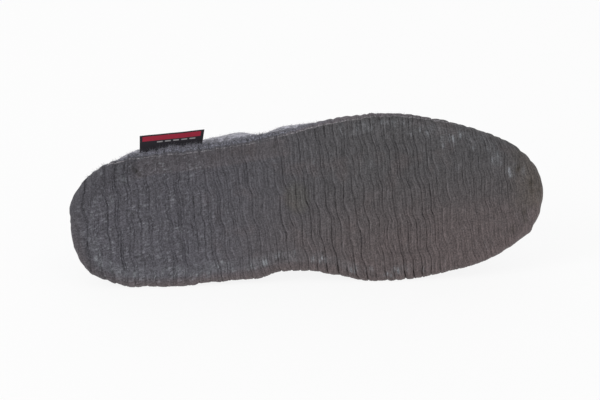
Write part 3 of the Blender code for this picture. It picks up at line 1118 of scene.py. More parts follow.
    def wrap_up(self, sheet: Array) -> tuple[Array, Array, Array, Array, Array]:
        """Bends the flat sheet up round the tread.

        Args:
            sheet: Points on the flat sheet.

        Returns:
            Points, the way out of the rubber, the nearest points of the tread's edge, the outward
            directions there, and the distances past that edge.
        """
        ring, ways = self.last.loop(-self.corner_radius)
        ends, end_ways = np.roll(ring, -1, axis=0), np.roll(ways, -1, axis=0)
        spans = ends - ring
        feet, out_ways = [], []
        for part in np.array_split(sheet, max(1, len(sheet) // 5000)):
            shares = ((part[:, None] - ring) * spans).sum(-1) / (spans * spans).sum(-1)
            shares = np.clip(shares, 0, 1)
            near = ring + shares[..., None] * spans
            best = np.linalg.norm(part[:, None] - near, axis=-1).argmin(axis=1)
            rows = np.arange(len(best))
            share = shares[rows, best][:, None]
            feet.append(near[rows, best])
            out_ways.append(ways[best] * (1 - share) + end_ways[best] * share)
        foot, way = np.concatenate(feet), np.concatenate(out_ways)
        way /= np.linalg.norm(way, axis=-1, keepdims=True)
        past = ((sheet - foot) * way).sum(-1)
        angle = np.clip(past, 0, self.wrap_arc) / self.corner_radius
        straight = np.clip(past - self.wrap_arc, 0, None)
        out = self.corner_radius * np.sin(angle) - straight * math.sin(self.side_lean)
        height = self.corner_radius * (1 - np.cos(angle)) + straight * math.cos(self.side_lean)
        flat = np.where((past <= 0)[:, None], sheet, foot + way * out[:, None])
        skin = np.concatenate([way * np.sin(angle)[:, None], -np.cos(angle)[:, None]], axis=1)
        return np.concatenate([flat, height[:, None]], axis=1), skin, foot, way, past

    def sheet_reach(self, along: Array, side: Side) -> Array:
        """How far across the flat sheet reaches at places along it."""
        points, _ = self.last.edge(np.linspace(0, 1, 720), side, self.sheet_out)
        return np.interp(along, points[:, 0], points[:, 1])

    def sheet_end(self, across: Array, at_toe: bool) -> Array:
        """Where the flat sheet ends, at its heel or its toe, at places across it.

        Args:
            across: Places across the sheet.
            at_toe: Whether the toe is meant.

        Returns:
            Places along the sheet.
        """
        turns = np.linspace(0.8, 1, 720) if at_toe else np.linspace(0.2, 0, 720)
        outer, _ = self.last.edge(turns[::-1], Side.OUTER, self.sheet_out)
        inner, _ = self.last.edge(turns, Side.INNER, self.sheet_out)
        points = np.concatenate([inner, outer])
        return np.interp(across, points[:, 1], points[:, 0])

    def rib_rows(self) -> tuple[Array, Array]:
        """Rows of the flat sheet along the ribs.

        Returns:
            Points row by row, and each row's place counted in ribs.
        """
        start = -(self.wrap - self.corner_radius)
        end = self.last.length - start
        fine = np.linspace(start, end, 3000)
        knots, pitch = columns(self.rib_pitch) * MM
        counted = np.concatenate([[0.0], np.cumsum(np.diff(fine) / np.interp(fine[1:], knots, pitch))])
        ribs = round(counted[-1])
        phases = [phase for phase, _ in self.rib_profile]
        rib = np.array([k + phase for k in range(ribs) for phase in phases])
        rib = rib[(rib > self.end_gap) & (rib < ribs - self.end_gap)]
        at_heel = 1 - ease(np.interp(rib, counted, fine), 70 * MM, 100 * MM)
        near = np.where(patches(np.floor(rib) * 1.3, 0 * rib, 12) > -0.1, 1.0, -1.0)
        closer = (self.paired_front + self.paired_heel * at_heel) * near * self.half_way(rib)
        along = np.interp(rib - closer, counted * ribs / counted[-1], fine)
        fade = ease(np.minimum(along - start, end - along), 0, self.fade_length)
        uneven = self.rib_uneven * patches(rib * 2, 0 * rib, 11)
        along = along + fade * np.interp(along, knots, pitch) * uneven
        reach = {}
        for side in Side:
            at = along
            for _ in range(6):
                reach[side] = self.sheet_reach(at, side)
                at = along + fade * self.rib_shift(along, reach[side])
        middle = (reach[Side.OUTER] + reach[Side.INNER]) / 2
        half = (reach[Side.OUTER] - reach[Side.INNER]) / 2
        inside = np.linspace(0, 1 - self.edge_share, self.middle_columns + 1)
        outside = np.linspace(1 - self.edge_share, 1, self.edge_columns + 1)[1:]
        shares = np.concatenate([inside, outside])
        shares = np.concatenate([-shares[:0:-1], shares])
        across = middle[:, None] + half[:, None] * shares
        wandering = along[:, None] + fade[:, None] * self.rib_shift(along[:, None], across)
        least = self.least_step * np.arange(len(rib))[:, None]
        wandering = np.maximum.accumulate(wandering - least, axis=0) + least
        wandering[0] = self.sheet_end(across[0], False)
        wandering[-1] = self.sheet_end(across[-1], True)
        return np.stack([wandering, across], axis=-1), rib

    @staticmethod
    def half_way(rib: Array) -> Array:
        """0 at each groove, 1 half way to the next."""
        return np.sin(math.pi * rib) ** 2

    def groove_strength(self, rib: Array, sheet: Array, past: Array, outer: Array) -> Array:
        """How deep each groove is at each point, as a share.

        Args:
            rib: Place counted in ribs.
            sheet: Points on the flat sheet.
            past: Distance past the tread's edge.
            outer: 1 on the outer side, 0 on the inner side.

        Returns:
            Shares of the full depth.
        """
        along, across = sheet[:, 0], sheet[:, 1]
        half_way = self.half_way(rib)
        in_heel = 1 - ease(along, 60 * MM, 95 * MM)
        in_front = ease(along, 150 * MM, 190 * MM)
        strength = 0.86 - 0.12 * in_front - (0.14 - 0.28 * in_front) * half_way
        strength += (0.32 + 0.10 * half_way) * patches(across / (30 * MM), rib * 1.94, 23)
        strength += (0.22 + 0.16 * in_heel) * patches(across / (8 * MM), rib * 1.94, 24)
        strength = np.clip(strength, 0.15, 1.15)
        heel_end = 1 - ease(along, 8 * MM, 24 * MM)
        waist = within(along, 50 * MM, 108 * MM, 14 * MM)
        outer_ball = ease(across, 4 * MM, 24 * MM) * within(along, 112 * MM, 212 * MM, 12 * MM)
        corner = within(past, 0.5 * MM, 4 * MM, 2.5 * MM) - 0.35 * ease(past, 5 * MM, 8 * MM)
        corner *= ease(along, 118 * MM, 150 * MM) * (1 - 0.75 * ease(along, 186 * MM, 214 * MM))
        toe = ease(along, 195 * MM, 225 * MM)
        band = within(past, *self.smooth_band, 2 * MM) * within(along, *self.smooth_span, 10 * MM)
        over = self.over_bead(along, past)
        lip = ease(over, -0.6 * MM, 1.0 * MM) * (1 - ease(along, 158 * MM, 176 * MM))
        inner_toe = ease(past, 0, 4 * MM) * ease(along, 230 * MM, 248 * MM) * (1 - outer)
        toe_tip = np.maximum(ease(along, 250 * MM, 262 * MM), inner_toe)
        # a place, how much weaker a main groove is there, and how much weaker one half way
        for place, main, lesser in (
            (in_heel, 0.40, 0.14),
            (heel_end, 0.60, 0.60),
            (waist, 0.34, -0.16),
            (outer_ball, 0.22, -0.24),
            (corner * (1 - 0.3 * outer), -1.0, 0.0),
            (toe, 0.27, 0.27),
            (band * outer, 0.75, 0.75),
            (lip * outer, 0.85, 0.85),
            (toe_tip, 0.65, 0.65),
        ):
            strength *= 1 - place * (main + (lesser - main) * half_way)
        return strength

    def over_bead(self, along: Array, past: Array) -> Array:
        """Distance up the side from the seam line.

        Args:
            along: Places along the sheet.
            past: Distance past the tread's edge.

        Returns:
            The distance, negative below the line.
        """
        knots, line = columns(self.bead) * MM
        wavy = 0.25 * MM * patches(along / (4 * MM), 0 * along, 33)
        return past - smooth(knots, line, along) - wavy

    def surface_rise(self, rib: Array, sheet: Array, foot: Array, past: Array, outer: Array) -> Array:
        """Relief beside the ribs: the seam line, scallops round the border, knobs and soft dents.

        Args:
            rib: Place counted in ribs.
            sheet: Points on the flat sheet.
            foot: Nearest points of the tread's edge.
            past: Distance past that edge.
            outer: 1 on the outer side, 0 on the inner side.

        Returns:
            Heights out of the sheet.
        """
        along, across = sheet[:, 0], sheet[:, 1]
        bead = np.exp(-((self.over_bead(along, past) / self.bead_half) ** 2))
        bead *= 0.7 + 0.4 * patches(along / (3 * MM), 0 * along, 31)
        bead *= within(along, 26 * MM, 226 * MM, 4 * MM) * outer
        dents = patches(along / (9 * MM), across / (11 * MM), 41)
        at_heel = 1 - ease(along, 70 * MM, 105 * MM)
        knobs = patches(rib * 3.2, across / (1.7 * MM), 43) * at_heel
        hollow = 0.5 + 0.5 * np.cos(2 * math.pi * rib)
        border = ease(past, 0.5 * MM, 5 * MM)
        bumps = patches(foot[:, 0] / (2.9 * MM), foot[:, 1] / (2.9 * MM), 47) * border
        cut = 0.75 + 0.6 * patches(np.round(rib), along / (30 * MM), 49)
        cut *= 0.35 + 0.65 * np.maximum(outer, ease(along, 105 * MM, 150 * MM))
        cut *= 1 - 0.75 * ease(along, 192 * MM, 226 * MM) * (1 - outer)
        scallop = (0.48 + 0.18 * outer) * border * (hollow * cut - 0.6) + 0.14 * at_heel * hollow
        corners = patches(foot[:, 0] / (8 * MM), foot[:, 1] / (8 * MM), 48) * border * at_heel
        rise = 0.16 * dents + 0.2 * knobs + 0.3 * bumps + 0.5 * corners + self.spots(sheet, self.bulges)
        rise = rise - 0.4 * self.spots(sheet, self.nicks) - scallop
        return self.bead_height * bead + rise * MM

    @staticmethod
    def spots(sheet: Array, rows: Rows) -> Array:
        """How strong the spots of a table are at each point.

        Args:
            sheet: Points on the flat sheet.
            rows: The table.

        Returns:
            The strengths.
        """
        most = np.zeros(len(sheet))
        for along, across, radius, amount in rows:
            off = (sheet - np.array([along, across]) * MM) / (radius * MM) / np.array([1.0, 1.4])
            most = np.maximum(most, amount * np.exp(-(off * off).sum(-1)))
        return most

    @property
    def whole_profile(self) -> Rows:
        """The depth of a rib from one groove to the next, both ends in it."""
        return (*self.rib_profile, (1.0, 1.0))

    def rib_tree(self) -> bpy.types.NodeTree:
        """Geometry nodes that press the grooves into the sheet along its own thickness.

        Returns:
            The node group.
        """
        nodes, given = Nodes.group("pressed_ribs", {"Depth": "Float", "Finish": "Material"})
        profile = nodes.node(
            "ShaderNodeFloatCurve",
            {"points": self.whole_profile},
            {"Value": nodes.named("rib").fraction()},
        )
        pressed = profile * nodes.named("strength") * nodes.sibling(given, "Depth")
        offset = nodes.node(
            "ShaderNodeVectorMath",
            {"operation": "SCALE"},
            {0: nodes.named("skin", "FLOAT_VECTOR"), "Scale": nodes.named("rise") - pressed},
        )
        moved = nodes.node("GeometryNodeSetPosition", sockets={"Geometry": given, "Offset": offset})
        nodes.end_with(moved, nodes.sibling(given, "Finish"))
        return nodes.tree

    def rim_rings(self, edge: Array, foot: Array, way: Array) -> tuple[list[Array], list[Array]]:
        """Rings of points over the rim and down inside the side to the floor of the cup.

        Args:
            edge: Points round the border of the sheet.
            foot: Nearest points of the tread's edge.
            way: Outward directions there.

        Returns:
            The rings, and how much of the ribs is left on each.
        """
        around = len(edge)
        out = ((edge[:, :2] - foot) * way).sum(-1)
        low = self.side_height - edge[:, 2]
        wave = self.rim_wave * patches(np.arange(around) / self.rim_wave_points, np.zeros(around), 53)
        rings, held = [], []
        # inset from the outer face, height as a share of the rounding, how much of the ribs is left
        for inset, up, keep in (
            (0.3 * self.rim_round, 0.7, 0.8),
            (self.rim_round, 1.0, 0.6),
            (self.side_wall - self.rim_round, 1.0, 0.1),
            (self.side_wall, 0.3, 0.0),
            (self.side_wall, None, 0.0),
        ):
            height = np.full(around, self.thickness) if up is None else edge[:, 2] + low * up + wave
            place = foot + way * (out - inset)[:, None]
            rings.append(np.concatenate([place, height[:, None]], axis=1))
            held.append(np.full(around, keep))
        return rings, held

    @staticmethod
    def shell_faces(index: Array, border: Array, rings: int) -> Faces:
        """Faces of the whole sole: the sheet, the rings on its border and the floor of the cup.

        Args:
            index: Numbers of the sheet's points, row by row.
            border: Numbers of the points round it.
            rings: Number of rings.

        Returns:
            The faces' corners.
        """
        rows, count = index.shape
        around = len(border)
        faces = grid_faces(rows, count)
        ladder = [border] + [index.size + around * k + np.arange(around) for k in range(rings)]
        for lower, upper in zip(ladder, ladder[1:]):
            for k in range(around):
                nxt = (k + 1) % around
                faces.append((lower[k], lower[nxt], upper[nxt], upper[k]))
        place_of = {int(point): int(ladder[-1][k]) for k, point in enumerate(border)}
        for row in range(1, rows - 2):
            corners = (index[row, 0], index[row + 1, 0], index[row + 1, -1], index[row, -1])
            faces.append(tuple(place_of[int(c)] for c in corners))
        for row, neighbour in ((0, 1), (rows - 1, rows - 2)):
            end = [place_of[int(c)] for c in index[row]]
            faces.append((*end, place_of[int(index[neighbour, -1])], place_of[int(index[neighbour, 0])]))
        return faces

    def build(self) -> bpy.types.Object:
        """Makes the sole as one closed piece.

        Returns:
            The piece.
        """
        sheet, rib_of_row = self.rib_rows()
        rows, count, _ = sheet.shape
        flat = sheet.reshape(-1, 2)
        rib = np.repeat(rib_of_row, count)
        points, skin, foot, way, past = self.wrap_up(flat)
        outer = ease(way[:, 1], -0.4, 0.4)
        strength = self.groove_strength(rib, flat, past, outer)
        rise = self.surface_rise(rib, flat, foot, past, outer)
        over = self.over_bead(flat[:, 0], past)
        fuzz = outer * ease(over, 2.5 * MM, 4.5 * MM) * within(flat[:, 0], 16 * MM, 130 * MM, 20 * MM)
        index = np.arange(rows * count).reshape(rows, count)
        border = np.concatenate([index[0], index[1:, -1], index[-1, -2::-1], index[-2:0:-1, 0]])
        rings, held = self.rim_rings(points[border], foot[border], way[border])
        source = np.concatenate([index.ravel()] + [border] * len(rings))
        keep = np.concatenate([np.ones(len(points)), *held])
        profile = np.interp(rib % 1, *columns(self.whole_profile))
        marks = {
            "rib": rib[source],
            "strength": strength[source] * keep,
            "rise": rise[source] * keep,
            "skin": self.last.turn_down(skin[:, 0], skin[:, 1], skin[:, 2])[source],
            "sheet": np.concatenate([flat, past[:, None]], axis=1)[source],
            "groove": (profile * strength + self.spots(flat, self.nicks))[source] * keep,
            "outer": outer[source],
            "over": over[source],
            "scuff": self.spots(flat, self.scuffs)[source],
            "smudge": self.spots(flat, self.smudges)[source],
            "nap": fuzz[source],
        }
        every = self.last.settled(np.concatenate([points, *rings]))
        piece = add_piece("rubber_sole", every, self.shell_faces(index, border, len(rings)), marks)
        run_group(piece, self.rib_tree(), {"Depth": self.rib_depth, "Finish": RubberFinish().make()})
        return piece

    def dress(self, piece: bpy.types.Object) -> None:
        """Puts the sole in the place of its solid.

        Args:
            piece: The piece.
        """
        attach(piece, BODY)
        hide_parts("outsole")


# Felt upper and its nap


@dataclass(frozen=True)
class FeltFinish:
    """Grey wool felt of mixed light and dark fibres, quite dull."""

    name: str
    light: Colour = (0.405, 0.40, 0.465)
    dark: Colour = (0.072, 0.072, 0.092)
    fibre: float = 0.9 * MM
    tuft: float = 3.0 * MM
    patch: float = 16 * MM
    swirl: float = 6 * MM
    depth: float = 0.5 * MM

    def make(self) -> bpy.types.Material:
        """Makes the material.

        Returns:
            The material.
        """
        look = Finish(
            self.name, Roughness=0.95, Specular_IOR_Level=0.15, Sheen_Weight=0.25, Sheen_Roughness=0.6
        )
        place = look.place()
        bent = look.node(
            "ShaderNodeTexNoise",
            {"noise_dimensions": "3D"},
            {"Vector": place, "Scale": 1 / self.tuft, "Detail": 1.0},
            "Color",
        )
        swirled = look.node(
            "ShaderNodeVectorMath", {"operation": "MULTIPLY_ADD"}, {0: bent, 1: (self.swirl,) * 3, 2: place}
        )
        x, y, z = look.parts(swirled)
        lying = look.cloud(look.vector(x * 0.3, y, z), self.fibre, 3.0)
        standing = look.cloud(look.vector(x, y * 0.35, z * 0.35), self.fibre * 0.8, 3.0)
        fibres = (lying + standing) * 0.5
        tufts = look.cloud(place, self.tuft, 3.0)
        cloudy = look.cloud(place, self.patch, 2.0)
        share = fibres.ease(0.42, 0.58) * 0.6 + (tufts.ease(0.31, 0.69) - 0.5) * 0.68
        share = share + (cloudy - 0.5) * 0.5 + 0.10
        look.feed("Base Color", look.mix(self.dark, self.light, share.ease(-0.1, 1.1)))
        look.relief(fibres * 0.7 + tufts * 0.8, self.depth)
        return look.material


@dataclass(frozen=True)
class NapFinish:
    """Single wool fibres that stand off the felt, from dark to nearly white."""

    name: str
    light: Colour = (0.52, 0.515, 0.57)
    dark: Colour = (0.09, 0.09, 0.11)

    def make(self) -> bpy.types.Material:
        """Makes the material.

        Returns:
            The material.
        """
        look = Finish(self.name, Roughness=0.85, Specular_IOR_Level=0.2, Sheen_Weight=0.2)
        look.feed("Base Color", look.mix(self.dark, self.light, look.number("shade")))
        return look.material


@dataclass(frozen=True)
class Nap:
    """Loose wool fibres, scattered over a piece where its points are marked for them."""

    name: str
    finish: NapFinish
    per_square_metre: float
    length: float
    radius: float = 0.05 * MM
    lean: float = math.radians(68)
    bend: float = 0.45
    sizes: tuple[float, float] = (0.45, 1.35)
    seed: int = 7

    def fibre_tree(self) -> bpy.types.NodeTree:
        """Geometry nodes that scatter bent fibres over a piece.

        Returns:
            The node group.
        """
        kinds = {name: "Float" for name in ("Density", "Length", "Radius", "Lean")}
        nodes, given = Nodes.group(self.name, {**kinds, "Seed": "Int", "Finish": "Material"})
        seed, length, lean = (nodes.sibling(given, name) for name in ("Seed", "Length", "Lean"))
        scattered = nodes.node(
            "GeometryNodeDistributePointsOnFaces",
            {"distribute_method": "RANDOM"},
            {"Mesh": given, "Density": nodes.named("nap") * nodes.sibling(given, "Density"), "Seed": seed},
        )
        fibre = nodes.node(
            "GeometryNodeMeshCone",
            {"fill_type": "NGON"},
            {
                "Vertices": 3,
                "Side Segments": 2,
                "Radius Top": 0.0,
                "Radius Bottom": nodes.sibling(given, "Radius"),
                "Depth": length,
            },
        )
        place = nodes.node("GeometryNodeInputPosition")
        up = nodes.node("ShaderNodeSeparateXYZ", sockets={0: place}, output=2)
        bend = nodes.node("ShaderNodeCombineXYZ", sockets={0: up * up / length * self.bend})
        bent = nodes.node("GeometryNodeSetPosition", sockets={"Geometry": fibre, "Offset": bend})

        def random(low: Any, high: Any, kind: str, start: int) -> Wire:
            """Random values for each fibre.

            Args:
                low: Least value.
                high: Greatest value.
                kind: Type of the values.
                start: What is added to the seed.

            Returns:
                The values.
            """
            number = kind == "FLOAT"
            return nodes.node(
                "FunctionNodeRandomValue",
                {"data_type": kind},
                {2 if number else 0: low, 3 if number else 1: high, "Seed": seed + start},
                1 if number else 0,
            )

        most = nodes.node("ShaderNodeCombineXYZ", sockets={0: lean, 1: lean, 2: 2 * math.pi})
        least = nodes.node("ShaderNodeCombineXYZ", sockets={0: 0 - lean, 1: 0 - lean, 2: 0.0})
        tilt = nodes.node("FunctionNodeEulerToRotation", sockets={0: random(least, most, "FLOAT_VECTOR", 1)})
        turned = nodes.node(
            "FunctionNodeRotateRotation",
            {"rotation_space": "LOCAL"},
            {0: nodes.sibling(scattered, "Rotation"), 1: tilt},
        )
        placed = nodes.node(
            "GeometryNodeInstanceOnPoints",
            sockets={
                "Points": scattered,
                "Instance": bent,
                "Rotation": turned,
                "Scale": random(*self.sizes, "FLOAT", 2),
            },
        )
        shaded = nodes.node(
            "GeometryNodeStoreNamedAttribute",
            {"data_type": "FLOAT", "domain": "INSTANCE"},
            {"Geometry": placed, "Name": "shade", "Value": random(0.0, 1.0, "FLOAT", 3)},
        )
        nodes.end_with(shaded, nodes.sibling(given, "Finish"))
        return nodes.tree

    def build(self, bearer: bpy.types.Object) -> bpy.types.Object:
        """Makes the loose fibres as one piece.

        Args:
            bearer: The finished piece that they stand on.

        Returns:
            The fibres.
        """
        piece = bpy.data.objects.new(self.name, bearer.data.copy())
        bpy.context.scene.collection.objects.link(piece)
        values = {
            "Density": self.per_square_metre,
            "Length": self.length,
            "Radius": self.radius,
            "Lean": self.lean,
            "Seed": self.seed,
            "Finish": self.finish.make(),
        }
        run_group(piece, self.fibre_tree(), values)
        return piece

    def dress(self, piece: bpy.types.Object) -> None:
        """Lets the fibres go with the slipper."""
        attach(piece, BODY)


@dataclass(frozen=True)
class FeltUpper:
    """Upper moulded whole from one sheet of felt, open at the collar and underneath."""

    last: Last
    inset: float
    seat: float
    felt: float = 3.2 * MM
    belly: float = 2.0 * MM
    belly_from: float = 10.9 * MM
    belly_full: float = 22.0 * MM
    belly_last: float = 48.0 * MM
    arch_fullness: float = 2.5
    toe_fullness: float = 2.1
    nose_step: float = 0.02
    rear_lines: int = 62
    rear_crowding: float = 1.35
    front_lines: int = 58
    wall_rows: int = 30
    foot_rows: int = 3
    # size along and up, size across and height in mm, and seed: lumps and tufts of the felt
    lumps: tuple[tuple[float, float, float, int], ...] = ((6.0, 9.0, 0.22, 61), (2.1, 2.7, 0.12, 67))
    # side, along, height, length, tall and out in mm: swells and creases that the solid mostly has too
    swells: tuple[tuple[Side, float, float, float, float, float], ...] = (
        (Side.OUTER, 97.0, 38.0, 12.0, 20.0, 2.2),
        (Side.OUTER, 112.0, 38.0, 7.5, 26.0, -2.9),
        (Side.OUTER, 131.0, 34.0, 14.0, 18.0, 0.9),
        (Side.OUTER, 155.0, 30.0, 19.0, 18.0, -2.4),
        (Side.OUTER, 17.0, 34.0, 13.0, 24.0, -3.0),
        (Side.INNER, 55.0, 42.0, 34.0, 24.0, 0.4),
        (Side.INNER, 172.0, 31.0, 34.0, 17.0, 2.0),
    )
    # the same columns: soft creases where the felt bends in use
    creases: tuple[tuple[Side, float, float, float, float, float], ...] = (
        (Side.OUTER, 120.0, 40.0, 4.0, 16.0, 0.7),
        (Side.OUTER, 160.0, 44.0, 4.5, 15.0, -0.9),
        (Side.OUTER, 171.0, 42.0, 5.0, 13.0, 0.6),
        (Side.OUTER, 184.0, 36.0, 4.5, 14.0, -0.7),
        (Side.OUTER, 30.0, 44.0, 6.0, 14.0, -0.7),
        (Side.OUTER, 62.0, 40.0, 7.0, 16.0, -0.8),
        (Side.INNER, 158.0, 46.0, 4.5, 13.0, -0.8),
        (Side.INNER, 112.0, 45.0, 6.0, 18.0, -1.0),
        (Side.INNER, 28.0, 46.0, 6.0, 12.0, -0.6),
    )

    def swell(self, along: Array, height: Array, side: Side) -> Array:
        """How far the felt swells outwards at places on one side.

        Args:
            along: Places from heel to toe.
            height: Heights above the tread.
            side: The side of the foot.

        Returns:
            Distances outwards.
        """
        out = np.zeros(np.broadcast(along, height).shape)
        for swell_side, at, middle, length, tall, amount in self.swells + self.creases:
            if swell_side is side:
                far = ((along - at * MM) / (length * MM)) ** 2 + ((height - middle * MM) / (tall * MM)) ** 2
                out = out + amount * MM * np.exp(-far)
        return out

    def collar_angle(self, along: float) -> float:
        """How far up its arch a line goes: to the collar, round the throat, or to the ridge.

        Args:
            along: Place along the sole.

        Returns:
            The angle.
        """
        last = self.last
        if along >= last.throat:
            return math.pi / 2
        share, ridge, _ = columns(last.ridge)
        collar_share, collar = columns(last.collar)
        at = min(along, last.throat_from) / last.length
        rise = float(smooth(share, ridge * MM, at)) - self.belly_from
        angle = math.asin((float(smooth(collar_share, collar * MM, at)) - self.belly_from) / rise)
        into_throat = max(0.0, (along - last.throat_from) / (last.throat - last.throat_from))
        keep = math.cos(angle) ** (2 / self.arch_fullness)
        keep *= math.sqrt(1 - into_throat**last.throat_squareness)
        return math.acos(keep ** (self.arch_fullness / 2))

    def wall_line(self, turn: float, side: Side) -> Array:
        """One line of the upper's outside.

        Args:
            turn: Station as a share of the half turn.
            side: The side of the foot.

        Returns:
            Points from the sole up to the collar or over to the ridge.
        """
        last = self.last
        base, _ = last.edge(turn, side, -self.inset)
        along = float(last.along_of(turn))
        spine_along = min(max(along, last.heel_centre), last.toe_centre)
        spine_share = spine_along / last.length
        share, ridge, to_inner = columns(last.ridge)
        ridge_height = float(smooth(share, ridge * MM, spine_share))
        spine_across = float(last.middle_of(last.turn_of(spine_share)))
        spine = np.array([spine_along, spine_across - float(smooth(share, to_inner * MM, spine_share))])
        reach = base - spine
        way = reach / np.linalg.norm(reach)
        in_nose = along > last.toe_centre
        fullness = self.arch_fullness + in_nose * (self.toe_fullness - self.arch_fullness) * way[0] ** 2
        angle = np.linspace(0, self.collar_angle(along), self.wall_rows)
        keep = np.maximum(np.cos(angle), 0) ** (2 / fullness)
        keep[angle > math.pi / 2 - 1e-6] = 0
        height = self.belly_from + (ridge_height - self.belly_from) * np.sin(angle)
        if in_nose:
            before = float(smooth(share, ridge * MM, spine_share - self.nose_step))
            slope = (ridge_height - before) / (self.nose_step * last.length)
            height = height + slope * reach[0] * keep * (1 - keep)
        rising = ease(height, self.belly_from, self.belly_full)
        belly = self.belly * rising * (1 - ease(height, self.belly_full, self.belly_last))
        out = belly * keep + self.swell(along, height, side) * keep * rising
        flat = spine + reach * keep[:, None] + way * out[:, None]
        foot_heights = np.linspace(self.seat, self.belly_from, self.foot_rows + 1)[:-1]
        foot = np.array([[base[0], base[1], h] for h in foot_heights])
        return np.concatenate([foot, np.concatenate([flat, height[:, None]], axis=1)])

    def build(self) -> bpy.types.Object:
        """Makes the felt as one hollow piece with a round collar edge.

        Returns:
            The piece.
        """
        throat_turn = float(self.last.turn_of(self.last.throat / self.last.length))
        rear = throat_turn * (1 - (1 - np.linspace(0, 1, self.rear_lines)) ** self.rear_crowding)
        turns = np.concatenate([rear, np.linspace(throat_turn, 1, self.front_lines)[1:]])
        lines = [self.wall_line(t, Side.OUTER) for t in turns]
        lines += [self.wall_line(t, Side.INNER) for t in turns[-2:0:-1]]
        lines = np.array(lines)
        around, tall, _ = lines.shape
        faces = grid_faces(around, tall)
        faces += [((around - 1) * tall + k, (around - 1) * tall + k + 1, k + 1, k) for k in range(tall - 1)]
        marks = {"height": lines[..., 2].ravel()}
        piece = add_piece("felt_upper", self.last.settled(lines).reshape(-1, 3), faces, marks)
        wall = piece.modifiers.new("felt_wall", "SOLIDIFY")
        wall.thickness = self.felt
        wall.offset = -1
        wall.use_even_offset = True
        rounding = piece.modifiers.new("rounding", "SUBSURF")
        rounding.levels = 1
        rounding.render_levels = 1
        settle_modifiers(piece)
        self.roughen(piece.data)
        piece.data.materials.append(FeltFinish("felt_finish").make())
        return piece

    def roughen(self, mesh: bpy.types.Mesh) -> None:
        """Gives the felt its uneven surface, and marks where its nap stands.

        Args:
            mesh: The felt's mesh.
        """
        points = read_points(mesh)
        ways = np.array([v.normal for v in mesh.vertices])
        height = np.zeros(len(points), np.float32)
        mesh.attributes["height"].data.foreach_get("value", height)
        free = ease(height, 12 * MM, 16 * MM)
        x, y, z = points.T
        uneven = np.zeros(len(points))
        for size, across, amount, seed in self.lumps:
            uneven += amount * patches(x / (size * MM), z / (size * MM) + y / (across * MM), seed)
        points = points + ways * (free * uneven * MM)[:, None]
        above_floor = ease(points[:, 2], 2 * MM, 6 * MM)
        nap = mesh.attributes.new("nap", "FLOAT", "POINT")
        nap.data.foreach_set("value", (above_floor * ease(height, 10.6 * MM, 11.4 * MM)).astype(np.float32))
        write_points(mesh, points)

    def dress(self, piece: bpy.types.Object) -> None:
        """Puts the felt in the place of its solid.

        Args:
            piece: The piece.
        """
        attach(piece, BODY)
        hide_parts("upper")


# Insole


@dataclass(frozen=True)
class Insole:
    """Felt footbed that lies loose in the cup of the sole, worn a little at heel and ball."""

    last: Last
    inset: float
    seat: float
    thickness: float = 4.0 * MM
    edge_round: float = 1.3 * MM
    stations: int = 150
    top_columns: int = 31
    end_turn: float = 0.002
    # along, across, radius and depth in mm: prints of heel, ball and big toe
    prints: Rows = (
        (38.0, -1.0, 24.0, 0.9),
        (176.0, -14.0, 24.0, 0.8),
        (186.0, 18.0, 22.0, 0.6),
        (228.0, -16.0, 13.0, 0.5),
    )

    def section(self, inner: Array, outer: Array) -> Array:
        """One section across the insole.

        Args:
            inner: Point on the inner edge.
            outer: Point on the outer edge.

        Returns:
            A ring of points, bottom first.
        """
        half = float(np.linalg.norm(outer - inner)) / 2
        corner = min(self.edge_round, half)
        turns = np.linspace(0, math.pi / 2, 4)[1:-1]
        low, high = half - corner, self.thickness - corner
        rim = [(low + corner * math.cos(t), high + corner * math.sin(t)) for t in turns]
        top = [(x, self.thickness) for x in np.linspace(low, -low, self.top_columns)]
        right = [(half, 0.0), (half, high), *rim]
        left = [(-x, h) for x, h in reversed(right)]
        ring = np.array(right + top + left)
        share = (ring[:, 0] / max(half, 1e-9) + 1) / 2
        flat = inner + (outer - inner) * share[:, None]
        height = self.seat + ring[:, 1]
        for at, across, radius, depth in self.prints:
            far = ((flat[:, 0] - at * MM) ** 2 + (flat[:, 1] - across * MM) ** 2) / (radius * MM) ** 2
            height = height - (ring[:, 1] > high) * depth * MM * np.exp(-far)
        return np.concatenate([flat, height[:, None]], axis=1)

    def build(self) -> bpy.types.Object:
        """Makes the insole as one closed piece.

        Returns:
            The piece.
        """
        turns = np.linspace(0, 1, self.stations)
        turns[0], turns[-1] = self.end_turn, 1 - self.end_turn
        outer, _ = self.last.edge(turns, Side.OUTER, -self.inset)
        inner, _ = self.last.edge(turns, Side.INNER, -self.inset)
        rings = np.array([self.section(*ends) for ends in zip(inner, outer)])
        rows, count, _ = rings.shape
        faces = grid_faces(rows, count, closed=True)
        faces += [tuple(range(count)), tuple(range((rows - 1) * count, rows * count))]
        piece = add_piece("felt_insole", self.last.settled(rings).reshape(-1, 3), faces, {})
        dark = FeltFinish("footbed_finish", light=(0.29, 0.285, 0.305), dark=(0.13, 0.13, 0.145))
        piece.data.materials.append(dark.make())
        return piece

    def dress(self, piece: bpy.types.Object) -> None:
        """Puts the insole in the place of its solid.

        Args:
            piece: The piece.
        """
        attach(piece, BODY)
        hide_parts("insole")


# Flag label


